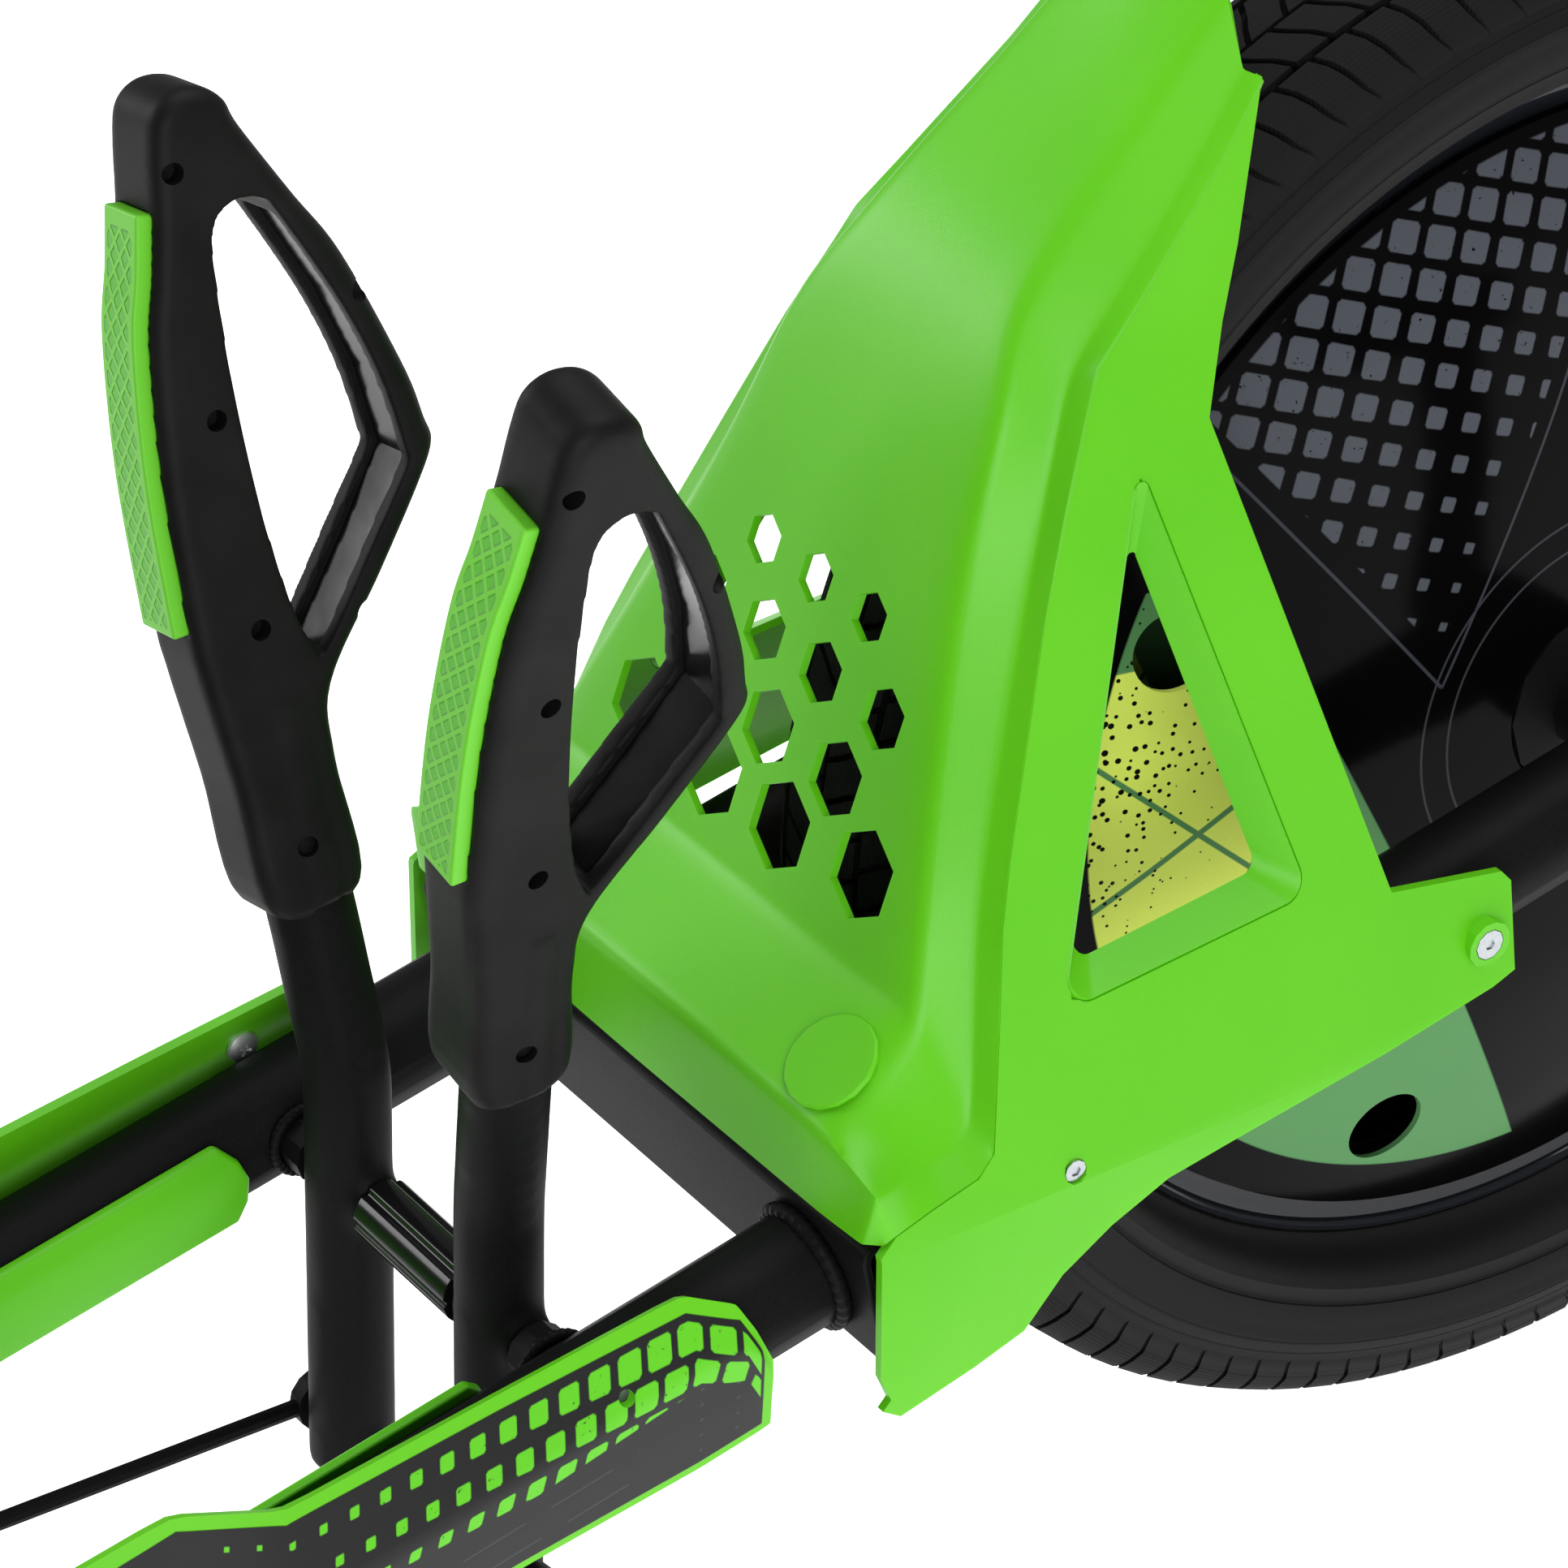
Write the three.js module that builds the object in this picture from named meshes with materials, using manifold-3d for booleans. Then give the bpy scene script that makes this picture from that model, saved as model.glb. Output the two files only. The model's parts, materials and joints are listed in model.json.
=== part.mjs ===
// Pedal drift trike: a 20 inch front wheel under a moulded cowl, two steering levers,
// a bucket seat and a swivelling rear truck. Millimetres, +X forward, +Y left, +Z up.
// The origin is on the ground under the middle of the trike. Pieces are modelled from
// the front axle, and the whole trike is set on its wheels at the end.
import * as THREE from 'three';
import { mergeVertices } from 'three/addons/utils/BufferGeometryUtils.js';
import Module from 'manifold-3d';

const wasm = await Module();
wasm.setup();

// Clearances shared by the whole trike
const fitGap = 0.3;
const runningGap = 0.45;
const overrun = 20;
const weldTolerance = 1e-4;

// Front wheel
const tyreRadius = 277;
const tyreHalfWidth = 38;
const rimRadius = tyreRadius * 0.7653;
const rimHalfWidth = 17;
const rimDepth = 14;
const rimLip = 3;
const coverRadius = rimRadius * 0.9623;
const coverHubRadius = 33.5;
const coverDish = 45;
const coverWall = 2.2;
const coverHoleRadius = 14;
const coverHoleCircle = coverRadius * 0.8333;
const coverHoleCount = 4;
const coverHoleTurn = 2.757;
const hubFlangeRadius = 33;
const hubReach = 71.5;
const spokeCross = 0.9;
const spokeCount = 16;
const spokeWidth = 2.2;
const wheelSides = 24;
const tyreSides = 28;
const hubSides = 12;

// Cranks and pedals
const axleRadius = 8;
const crankLength = 127;
const crankInner = 138;
const crankThickness = 14;
const crankBossRadius = 17;
const crankTipRadius = 13;
const crankSocketShare = 0.9;
const pedalLength = 92;
const pedalWidth = 78;
const pedalThickness = 22;
const pedalPinRadius = 6;
const pedalPinSpare = 12;
const pedalSpace = 4;
const pedalRound = 6;

// Frame tubes
const railOffset = 91;
const railRadius = 19.05;
const railWall = 2;
const railPitch = 0.197;
const railHeightAtAxle = 11.6;
const forkHeightAtAxle = 7.4;
const railBendX = -640;
const railBendRadius = 120;
const railRearX = -900;
const housingRadius = 23;
const housingInner = 72;
const housingOuter = 110;
const bearingRadius = 17;

// Cross box that joins the rails and the fork
const boxRearX = -341;
const boxDepth = 40;
const boxHeight = 51;
const boxHalfWidth = 124;
const boxWall = 3;
const boxCorner = 5;

// Steering levers
const leverX = -422.6;
const leverOffset = 43.5;
const leverTubeRadius = 14.3;
const leverTubeWall = 2;
const leverBelow = 106;
const leverBendAbove = 44.5;
const leverBendRadius = 60;
const leverLeanBack = 0.049;
const pivotRadius = 6;
const pivotSleeveRadius = 10;
const pivotSleeveReach = 17;
const spacerRadius = 11;

// Grips
const gripStart = 107;
const gripLength = 259;
const gripTilt = [-0.0576, 0.211, 0.9758];
const gripHalfWidth = 15.5;
const gripRound = 9;
const gripRoundSteps = 2;
const gripCollarRadius = 16.4;
const gripSocket = 66;
const loopHalfWidth = 9;
const loopDepth = 2;
const loopRecess = 3;
const insertHalfWidth = 10;
const insertDepth = 4.5;
const insertProud = 1.2;

// Cowl over the wheel
const cowlRearX = -348;
const cowlBaseZ = -30;
const cowlLength = 200;
const cowlHalfWidth = 131;
const cowlHeight = 322;
const cowlWall = 3;
const seamGap = 0.45;
const capRadius = 16.3;
const capThickness = 2.4;
const capX = -330.5;
const capOffset = 87;
const capRecess = 1.2;
const postRadius = 11;
const postAlong = 16;
const faceLean = 0.36;
const cowlHoleReach = 60;
const sideLength = 272;
const windowRound = 9;
const screwShank = 2.4;
const screwSink = 1.2;
const screwReach = 12;
const sideScrewHead = 3.8;
const armScrewHead = 5.2;
const armBossRadius = 8;
const armBossProud = 2.4;

// Rail covers
const outerCoverWall = 3;
const outerCoverRearX = -742;
const outerCoverFrontX = -371.5;
const outerCoverHalf = 116.7;
const outerCoverHeight = 79;
const coverScrewShare = 0.86;
const coverScrewUp = 15;
const panelDepth = 1.5;
const innerCoverWall = 4.4;
const innerCoverRearX = -700;
const innerCoverFrontX = -445.5;

// Rear truck
const kingpinX = -820;
const kingpinRadius = 8;
const kingpinHeadHeight = 8;
const kingpinHeadShare = 1.8;
const kingpinNutHeight = 9;
const kingpinSpare = 3;
const truckPlateThickness = 6;
const truckPlateHalfWidth = 98;
const truckPlateRound = 9;
const mountPlateThickness = 5;
const mountPlateHalfLength = 55;
const mountPlateSpare = 14;
const mountPlateRound = 12;
const thrustThickness = 5;
const thrustRadius = 34;
const axleTrail = 30;
const axleTubeRadius = 11;
const axleTubeSpace = 8;
const rearAxleRadius = 6;
const rearAxleSpare = 10;
const rearNutHeight = 8;
const rodArm = 80;
const rodArmShare = 0.955;
const rodRadius = 3;
const rodPinRadius = 4;
const rodPinDrop = 3;
const rodPinSpare = 3;
const rodEyeThickness = 6;
const rodEyeRadius = 11;
const rodSlack = 6;

// Rear wheels
const rearTyreHalfWidth = 45;
const rearTrackHalf = 300;
const rearRimShare = 0.746;
const rearHubRadius = 19;
const rearHubHalf = 42;
const rearRimHalf = 40;
const rearWebHalf = 16;
const rearRimWall = 6;
const rearSides = 14;

// Seat
const seatRearX = -955;
const seatDepth = 310;
const seatHeight = 330;
const seatWidth = 340;
const seatWall = 4;
const trackSize = 35;
const trackWall = 2.5;
const trackFrontX = -590;
const trackRearX = -880;
const frontSeatBarX = trackFrontX - 90;
const rearSeatBarX = trackRearX + 102;
const sliderRearX = trackRearX + 20;
const seatBarThickness = 6;
const seatBarWidth = 30;
const seatBarSpare = 8;
const seatBarRound = 5;
const sliderLength = 150;
const sliderWall = 4;
const knobRadius = 12.4;
const knobDepth = 19.7;

// Heights that follow from the sizes above
const pivotZ = railHeightAtAxle + railPitch * leverX;
const railRearZ = railHeightAtAxle + railPitch * railBendX;
const mountPlateTop = railRearZ - railRadius - fitGap;
const thrustTop = mountPlateTop - mountPlateThickness - fitGap;
const truckPlateTop = thrustTop - thrustThickness - fitGap;
const axleTubeZ = truckPlateTop - truckPlateThickness - fitGap - axleTubeRadius;
const rearTyreRadius = tyreRadius + axleTubeZ;
const rearRimRadius = rearTyreRadius * rearRimShare;
const rearAxleX = kingpinX - axleTrail;
const seatBarTop = railRearZ + railRadius + fitGap + seatBarThickness;
const trackBase = seatBarTop;
const pitchAngle = Math.atan(railPitch);

// Finishes
const finishes = {
  greenPlastic: new THREE.MeshStandardMaterial({ color: 0x4fd318, roughness: 0.42, metalness: 0 }),
  satinBlack: new THREE.MeshStandardMaterial({ color: 0x141414, roughness: 0.45, metalness: 0.3 }),
  glossBlack: new THREE.MeshStandardMaterial({ color: 0x0a0a0b, roughness: 0.12, metalness: 0 }),
  matteRubber: new THREE.MeshStandardMaterial({ color: 0x1b1b1c, roughness: 0.72, metalness: 0 }),
  tyreRubber: new THREE.MeshStandardMaterial({ color: 0x191919, roughness: 0.85, metalness: 0 }),
  zinc: new THREE.MeshStandardMaterial({ color: 0xb9bcc0, roughness: 0.3, metalness: 1 }),
  seatPlastic: new THREE.MeshStandardMaterial({ color: 0x17181a, roughness: 0.55, metalness: 0 })
};

const trike = new THREE.Group();

// Geometry helpers

function flipped(geometry) {
  const order = geometry.index.array.slice();
  for (let i = 0; i < order.length; i += 3) {
    [order[i], order[i + 1]] = [order[i + 1], order[i]];
  }
  geometry.setIndex(Array.from(order));
  return geometry;
}

function welded(geometry) {
  const bare = new THREE.BufferGeometry();
  bare.setAttribute('position', geometry.getAttribute('position').clone());
  if (geometry.index) bare.setIndex(Array.from(geometry.index.array));
  return mergeVertices(bare, weldTolerance);
}

function mirrored(geometry) {
  return flipped(welded(geometry).scale(1, -1, 1));
}

function solid(geometry) {
  const bare = welded(geometry);
  const shape = new wasm.Manifold(new wasm.Mesh({
    numProp: 3,
    vertProperties: new Float32Array(bare.getAttribute('position').array),
    triVerts: new Uint32Array(bare.index.array)
  }));
  return shape;
}

function geometryOf(shape) {
  const mesh = shape.getMesh();
  const geometry = new THREE.BufferGeometry();
  geometry.setAttribute('position', new THREE.BufferAttribute(mesh.vertProperties, mesh.numProp));
  geometry.setIndex(Array.from(mesh.triVerts));
  return geometry;
}

function cutAway(geometry, ...tools) {
  return geometryOf(tools.reduce((left, tool) => left.subtract(solid(tool)), solid(geometry)));
}

function joined(geometry, ...others) {
  return geometryOf(others.reduce((sum, other) => sum.add(solid(other)), solid(geometry)));
}

function common(geometry, other) {
  return geometryOf(solid(geometry).intersect(solid(other)));
}

function add(name, geometry, material) {
  const clean = welded(geometry).toNonIndexed();
  clean.computeVertexNormals();
  const mesh = new THREE.Mesh(clean, material.clone());
  mesh.name = name;
  trike.add(mesh);
  return mesh;
}

function addPair(name, geometry, material) {
  add(`left_${name}`, geometry, material);
  add(`right_${name}`, mirrored(geometry), material);
}

// A path whose rings fall exactly on the points that it is given
class PointPath extends THREE.Curve {
  constructor(points) {
    super();
    this.points = points;
  }
  getPoint(t, target = new THREE.Vector3()) {
    const place = t * (this.points.length - 1);
    const i = Math.min(Math.floor(place), this.points.length - 2);
    return target.copy(this.points[i]).lerp(this.points[i + 1], place - i);
  }
  getPointAt(t, target) {
    return this.getPoint(t, target);
  }
  getTangentAt(t, target = new THREE.Vector3()) {
    const last = this.points.length - 1;
    const i = Math.round(t * last);
    const before = this.points[Math.max(i - 1, 0)];
    const after = this.points[Math.min(i + 1, last)];
    return target.copy(after).sub(before).normalize();
  }
}

// Straight runs with a round bend of the given radius and number of steps at each corner
function bentPath(corners, radius, steps) {
  const points = [corners[0]];
  for (let i = 1; i < corners.length - 1; i++) {
    const back = corners[i - 1].clone().sub(corners[i]).normalize();
    const on = corners[i + 1].clone().sub(corners[i]).normalize();
    const turn = Math.PI - back.angleTo(on);
    const reach = radius * Math.tan(turn / 2);
    const start = corners[i].clone().addScaledVector(back, reach);
    const end = corners[i].clone().addScaledVector(on, reach);
    const bend = new THREE.QuadraticBezierCurve3(start, corners[i], end);
    points.push(...bend.getPoints(steps));
  }
  points.push(corners[corners.length - 1]);
  return points;
}

function circle(radius, sides, hole = 0) {
  const shape = new THREE.Shape();
  ringPoints(radius, sides).forEach(([x, y], i) => (i ? shape.lineTo(x, y) : shape.moveTo(x, y)));
  if (hole > 0) {
    const path = new THREE.Path();
    ringPoints(hole, sides).forEach(([x, y], i) => (i ? path.lineTo(x, y) : path.moveTo(x, y)));
    shape.holes.push(path);
  }
  return shape;
}

function ringPoints(radius, sides) {
  const points = [];
  for (let i = 0; i < sides; i++) {
    const angle = (2 * Math.PI * (i + 0.5)) / sides;
    points.push([radius * Math.cos(angle), radius * Math.sin(angle)]);
  }
  return points;
}

function tubeAlong(points, radius, hole, sides) {
  const path = new PointPath(points);
  return new THREE.ExtrudeGeometry(circle(radius, sides, hole), {
    extrudePath: path, steps: points.length - 1, bevelEnabled: false
  });
}

function rodBetween(from, to, radius, sides, hole = 0) {
  return tubeAlong([from, to], radius, hole, sides);
}

const at = (x, y, z) => new THREE.Vector3(x, y, z);

// A cylinder or tube across the trike, from one y to another
function acrossRod(x, z, yFrom, yTo, radius, sides, hole = 0) {
  return rodBetween(at(x, yFrom, z), at(x, yTo, z), radius, sides, hole);
}

function uprightRod(x, y, zFrom, zTo, radius, sides, hole = 0) {
  return rodBetween(at(x, y, zFrom), at(x, y, zTo), radius, sides, hole);
}

// An outline in x and z, extruded across the trike between two y
function acrossPlate(outline, yFrom, yTo, hole = null) {
  const shape = new THREE.Shape(outline.map(([x, z]) => new THREE.Vector2(x, z)));
  if (hole) shape.holes.push(new THREE.Path(hole.map(([x, z]) => new THREE.Vector2(x, z))));
  const plate = new THREE.ExtrudeGeometry(shape, { depth: yTo - yFrom, bevelEnabled: false });
  return plate.rotateX(Math.PI / 2).translate(0, yTo, 0);
}

// An outline in x and y, extruded upwards between two z
function flatPlate(outline, zFrom, zTo, holes = []) {
  const shape = new THREE.Shape(outline.map(([x, y]) => new THREE.Vector2(x, y)));
  const path = (hole) => new THREE.Path(hole.map(([x, y]) => new THREE.Vector2(x, y)));
  holes.forEach((hole) => shape.holes.push(path(hole)));
  const plate = new THREE.ExtrudeGeometry(shape, { depth: zTo - zFrom, bevelEnabled: false });
  return plate.translate(0, 0, zFrom);
}

function roundedRectangle(xFrom, xTo, yFrom, yTo, radius, steps) {
  const points = [];
  const corners = [[xTo, yFrom, -1], [xTo, yTo, 0], [xFrom, yTo, 1], [xFrom, yFrom, 2]];
  for (const [x, y, quarter] of corners) {
    const centreX = x - Math.sign(x - (xFrom + xTo) / 2) * radius;
    const centreY = y - Math.sign(y - (yFrom + yTo) / 2) * radius;
    for (let i = 0; i <= steps; i++) {
      const angle = ((quarter + i / steps) * Math.PI) / 2;
      points.push([centreX + radius * Math.cos(angle), centreY + radius * Math.sin(angle)]);
    }
  }
  return points;
}

// A profile of radius and y, turned about the y axis of the trike
function turned(profile, segments) {
  const closed = [...profile, profile[0]].map(([r, y]) => new THREE.Vector2(r, y));
  return new THREE.LatheGeometry(closed, segments);
}

function faceOut(geometry) {
  const bare = welded(geometry);
  const place = bare.getAttribute('position');
  const [a, b, c] = [at(0, 0, 0), at(0, 0, 0), at(0, 0, 0)];
  let volume = 0;
  for (let i = 0; i < bare.index.count; i += 3) {
    a.fromBufferAttribute(place, bare.index.getX(i));
    b.fromBufferAttribute(place, bare.index.getX(i + 1));
    c.fromBufferAttribute(place, bare.index.getX(i + 2));
    volume += a.dot(b.clone().cross(c));
  }
  return volume < 0 ? flipped(bare) : bare;
}

// A closed body between two grids of points of the same size. Each half of a grid has
// its quads cut along mirrored diagonals, so that a symmetric grid gives a symmetric body.
function gridBody(outer, inner) {
  const rows = outer.length;
  const columns = outer[0].length;
  const places = [];
  [outer, inner].forEach((grid) => grid.forEach((row) => row.forEach((p) => places.push(p.x, p.y, p.z))));
  const id = (layer, i, j) => (layer * rows + i) * columns + j;
  const faces = [];
  const quad = (a, b, c, d) => faces.push(a, b, c, a, c, d);
  for (let i = 0; i < rows - 1; i++) {
    for (let j = 0; j < columns - 1; j++) {
      const outerQuad = [id(0, i, j), id(0, i, j + 1), id(0, i + 1, j + 1), id(0, i + 1, j)];
      const innerQuad = [id(1, i, j), id(1, i + 1, j), id(1, i + 1, j + 1), id(1, i, j + 1)];
      const near = j < (columns - 1) / 2;
      [outerQuad, innerQuad].forEach(([a, b, c, d]) => (near ? quad(b, c, d, a) : quad(a, b, c, d)));
    }
    quad(id(0, i, 0), id(0, i + 1, 0), id(1, i + 1, 0), id(1, i, 0));
    const end = columns - 1;
    quad(id(0, i + 1, end), id(0, i, end), id(1, i, end), id(1, i + 1, end));
  }
  for (let j = 0; j < columns - 1; j++) {
    quad(id(0, 0, j + 1), id(0, 0, j), id(1, 0, j), id(1, 0, j + 1));
    const top = rows - 1;
    quad(id(0, top, j), id(0, top, j + 1), id(1, top, j + 1), id(1, top, j));
  }
  const body = new THREE.BufferGeometry();
  body.setAttribute('position', new THREE.Float32BufferAttribute(places, 3));
  body.setIndex(faces);
  return faceOut(body);
}

function gridNormals(grid) {
  return grid.map((row, i) => row.map((point, j) => {
    const up = grid[Math.min(i + 1, grid.length - 1)][j].clone().sub(grid[Math.max(i - 1, 0)][j]);
    const side = row[Math.min(j + 1, row.length - 1)].clone().sub(row[Math.max(j - 1, 0)]);
    return side.cross(up).normalize();
  }));
}

function roundedOutline(corners, radius, steps) {
  const points = [];
  const count = corners.length;
  corners.forEach((corner, i) => {
    const here = new THREE.Vector2(...corner);
    const before = new THREE.Vector2(...corners[(i + count - 1) % count]).sub(here).normalize();
    const after = new THREE.Vector2(...corners[(i + 1) % count]).sub(here).normalize();
    const start = here.clone().addScaledVector(before, radius);
    const end = here.clone().addScaledVector(after, radius);
    new THREE.QuadraticBezierCurve(start, here, end).getPoints(steps).forEach((p) => points.push([p.x, p.y]));
  });
  return points;
}

// Rails, fork and cross box

const railZ = (x) => (x > railBendX ? railHeightAtAxle + railPitch * x : railRearZ);
const forkZ = (x) => forkHeightAtAxle + railPitch * x;

// The box stands square to the rails, so places on it are given along and across their slope
function onBox(along, up) {
  const x = boxRearX + along * Math.cos(pitchAngle) - up * Math.sin(pitchAngle);
  const z = railZ(boxRearX) + along * Math.sin(pitchAngle) + up * Math.cos(pitchAngle);
  return [x, z];
}

function boxOutline(grow, corner) {
  const half = boxHeight / 2 + grow;
  const flat = roundedRectangle(-grow, boxDepth + grow, -half, half, corner, 2);
  return flat.map(([along, up]) => onBox(along, up));
}

function crossBox() {
  const bore = boxOutline(-boxWall, boxCorner - boxWall / 2);
  return acrossPlate(boxOutline(0, boxCorner), -boxHalfWidth, boxHalfWidth, bore);
}

function rail() {
  const [frontX, frontZ] = onBox(-fitGap, 0);
  const corners = [at(frontX, railOffset, frontZ), at(railBendX, railOffset, railRearZ),
    at(railRearX, railOffset, railRearZ)];
  const path = bentPath(corners, railBendRadius, 2);
  const tube = tubeAlong(path, railRadius, railRadius - railWall, 14);
  const bossInner = leverOffset + pivotSleeveReach + fitGap;
  const boss = acrossRod(leverX, pivotZ, bossInner, railOffset, pivotSleeveRadius, 10);
  const outerHalf = cutAway(boss, tubeAlong(path, railRadius - railWall / 2, 0, 14));
  const bore = acrossRod(leverX, pivotZ, 0, railOffset + railRadius + overrun, pivotRadius + runningGap, 10);
  return cutAway(joined(tube, outerHalf), bore);
}

function forkTube() {
  const frontFace = onBox(boxDepth + fitGap, forkZ(boxRearX) - railZ(boxRearX));
  const start = at(frontFace[0], railOffset, frontFace[1]);
  const end = at(0, railOffset, forkZ(0));
  const tube = rodBetween(start, end, railRadius, 14, railRadius - railWall);
  const cope = acrossRod(0, 0, 0, housingOuter + overrun, housingRadius + fitGap, 20);
  return cutAway(tube, cope, acrossPlate(boxOutline(fitGap, boxCorner), 0, boxHalfWidth));
}

function axleHousing() {
  return turned([[bearingRadius, housingInner], [housingRadius, housingInner],
    [housingRadius, housingOuter], [bearingRadius, housingOuter]], 16);
}

function bearing() {
  const bore = axleRadius + runningGap;
  const seat = bearingRadius - runningGap;
  return turned([[bore, housingInner], [seat, housingInner], [seat, housingOuter], [bore, housingOuter]], 12);
}

function pivotAxle() {
  const reach = railOffset + railRadius;
  return acrossRod(leverX, pivotZ, -reach, reach, pivotRadius, 10);
}

// The spacer between the levers has lengthwise grooves
function pivotSpacer() {
  const reach = leverOffset - pivotSleeveReach - fitGap;
  const teeth = 7;
  const grooveDepth = spacerRadius * 0.14;
  const outline = [];
  for (let i = 0; i < teeth * 4; i++) {
    const angle = (2 * Math.PI * i) / (teeth * 4);
    const radius = i % 4 < 2 ? spacerRadius : spacerRadius - grooveDepth;
    outline.push([leverX + radius * Math.cos(angle), pivotZ + radius * Math.sin(angle)]);
  }
  const bore = ringPoints(pivotRadius + runningGap, 10).map(([x, z]) => [x + leverX, z + pivotZ]);
  return acrossPlate(outline, -reach, reach, bore);
}

// Levers and grips

const gripAxis = new THREE.Vector3(...gripTilt).normalize();
const gripForward = at(1, 0, 0).addScaledVector(gripAxis, -gripAxis.x).normalize();
const gripAcross = gripAxis.clone().cross(gripForward);
const leverKnee = at(leverX, leverOffset, pivotZ + leverBendAbove);
const gripBase = leverKnee.clone().addScaledVector(gripAxis, gripStart - leverBendAbove);

function leverCorners(topReach) {
  const foot = at(leverX - leverLeanBack * leverBelow, leverOffset, pivotZ - leverBelow);
  return [foot, leverKnee, gripBase.clone().addScaledVector(gripAxis, topReach)];
}

function leverTube() {
  const path = bentPath(leverCorners(gripSocket), leverBendRadius, 2);
  const tube = tubeAlong(path, leverTubeRadius, leverTubeRadius - leverTubeWall, 12);
  const inside = leverOffset - pivotSleeveReach;
  const outside = leverOffset + pivotSleeveReach;
  const sleeve = acrossRod(leverX, pivotZ, inside, outside, pivotSleeveRadius, 10);
  const boreRadius = pivotRadius + runningGap;
  const bore = acrossRod(leverX, pivotZ, inside - overrun, outside + overrun, boreRadius, 10);
  return cutAway(joined(tube, sleeve, rodPin()), bore);
}

function rodPlace() {
  const drop = leverBelow - 2 * rodEyeThickness;
  return [leverX - leverLeanBack * drop, pivotZ - drop];
}

// Side view of the grip: shares of its length, forward of and along its axis
const gripOutlineShares = [
  [0.0502, 0], [0.0541, 0.1622], [0.0695, 0.2529], [0.161, 0.3564], [0.2645, 0.4884],
  [0.249, 0.5907], [0.2008, 0.749], [0.1564, 0.8378], [0.1081, 0.9382], [0.0965, 0.973],
  [0.0695, 0.9961], [0.0328, 0.9981], [0.0039, 0.9768], [-0.0097, 0.9421], [-0.0232, 0.8726],
  [-0.0405, 0.8031], [-0.0641, 0.722], [-0.0861, 0.5598], [-0.095, 0.3745], [-0.0927, 0.3089],
  [-0.0811, 0.1699], [-0.0676, 0]
];
const handHoleShares = [
  [0.0595, 0.2973], [0.1556, 0.4019], [0.222, 0.4846], [0.2104, 0.5869], [0.1815, 0.6911],
  [0.1158, 0.8436], [0.0734, 0.8571], [0.0425, 0.834], [0.0309, 0.7606], [0.0228, 0.6178],
  [0.0247, 0.4826], [0.0367, 0.3475]
];
const insertFirst = 14;
const insertLast = 18;

const gripPoint = ([forward, along]) => [forward * gripLength, along * gripLength];

// Places a body drawn as forward, across and along onto the left grip
function ontoGrip(geometry) {
  const place = new THREE.Matrix4().makeBasis(gripForward, gripAcross, gripAxis);
  return geometry.applyMatrix4(place).translate(gripBase.x, gripBase.y, gripBase.z);
}

// The front and lower sides of the hand hole, moved outwards by a distance and made longer
const loopDirections = [
  [0.736, -0.677], [0.758, -0.652], [1.041, -0.301], [0.98, 0.19], [0.945, 0.33], [0.919, 0.395]
];
const loopFootWay = [-0.677, -0.736];
const loopTopWay = [-0.395, 0.919];

function loopSide(outward, longer) {
  const side = loopDirections.map(([x, z], i) => {
    const [holeX, holeZ] = gripPoint(handHoleShares[i]);
    return [holeX + outward * x, holeZ + outward * z];
  });
  [[0, loopFootWay], [side.length - 1, loopTopWay]].forEach(([i, way]) => {
    side[i] = [side[i][0] + longer * way[0], side[i][1] + longer * way[1]];
  });
  return side;
}

function loopStrip(inward, outward, longer) {
  return [...loopSide(outward, longer), ...loopSide(-inward, longer).reverse()];
}

function gripCore() {
  const outline = gripOutlineShares.map(gripPoint);
  const shape = new THREE.Shape(outline.map(([x, z]) => new THREE.Vector2(x, z)));
  const core = new THREE.ExtrudeGeometry(shape, {
    depth: 2 * (gripHalfWidth - gripRound), bevelThickness: gripRound, bevelSize: gripRound,
    bevelOffset: -gripRound, bevelSegments: gripRoundSteps, steps: 1
  });
  return core.rotateX(Math.PI / 2).translate(0, gripHalfWidth - gripRound, 0);
}

// The textured insert follows the back of the grip between two points of its outline
function insertOutline(outward, inward, longer) {
  const back = gripOutlineShares.slice(insertFirst, insertLast + 1).map(gripPoint);
  back[0][1] += longer;
  back[back.length - 1][1] -= longer;
  const outer = back.map(([x, z]) => [x - outward, z]);
  const inner = back.slice().reverse().map(([x, z]) => [x + inward, z]);
  return [...outer, ...inner];
}

function grip() {
  const collar = uprightRod(0, 0, 0, gripSocket + fitGap + gripHalfWidth / 4, gripCollarRadius, 16);
  const body = joined(gripCore(), collar);
  const hole = acrossPlate(handHoleShares.map(gripPoint), -gripHalfWidth - overrun, gripHalfWidth + overrun);
  const socket = uprightRod(0, 0, -overrun, gripSocket + fitGap, leverTubeRadius + fitGap * 2, 12);
  const seatHalf = insertHalfWidth + fitGap;
  const seat = acrossPlate(insertOutline(overrun, insertDepth + fitGap, fitGap), -seatHalf, seatHalf);
  const channelHalf = loopHalfWidth + fitGap;
  const floor = loopRecess + loopDepth + fitGap;
  const channel = acrossPlate(loopStrip(fitGap * 4, floor, fitGap * 2), -channelHalf, channelHalf);
  return ontoGrip(cutAway(body, hole, socket, seat, channel));
}

function gripInsert() {
  const band = acrossPlate(insertOutline(insertProud, insertDepth, 0), -insertHalfWidth, insertHalfWidth);
  return ontoGrip(band);
}

function gripLoop() {
  const strip = loopStrip(-loopRecess, loopRecess + loopDepth, 0);
  return ontoGrip(acrossPlate(strip, -loopHalfWidth, loopHalfWidth));
}

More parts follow.
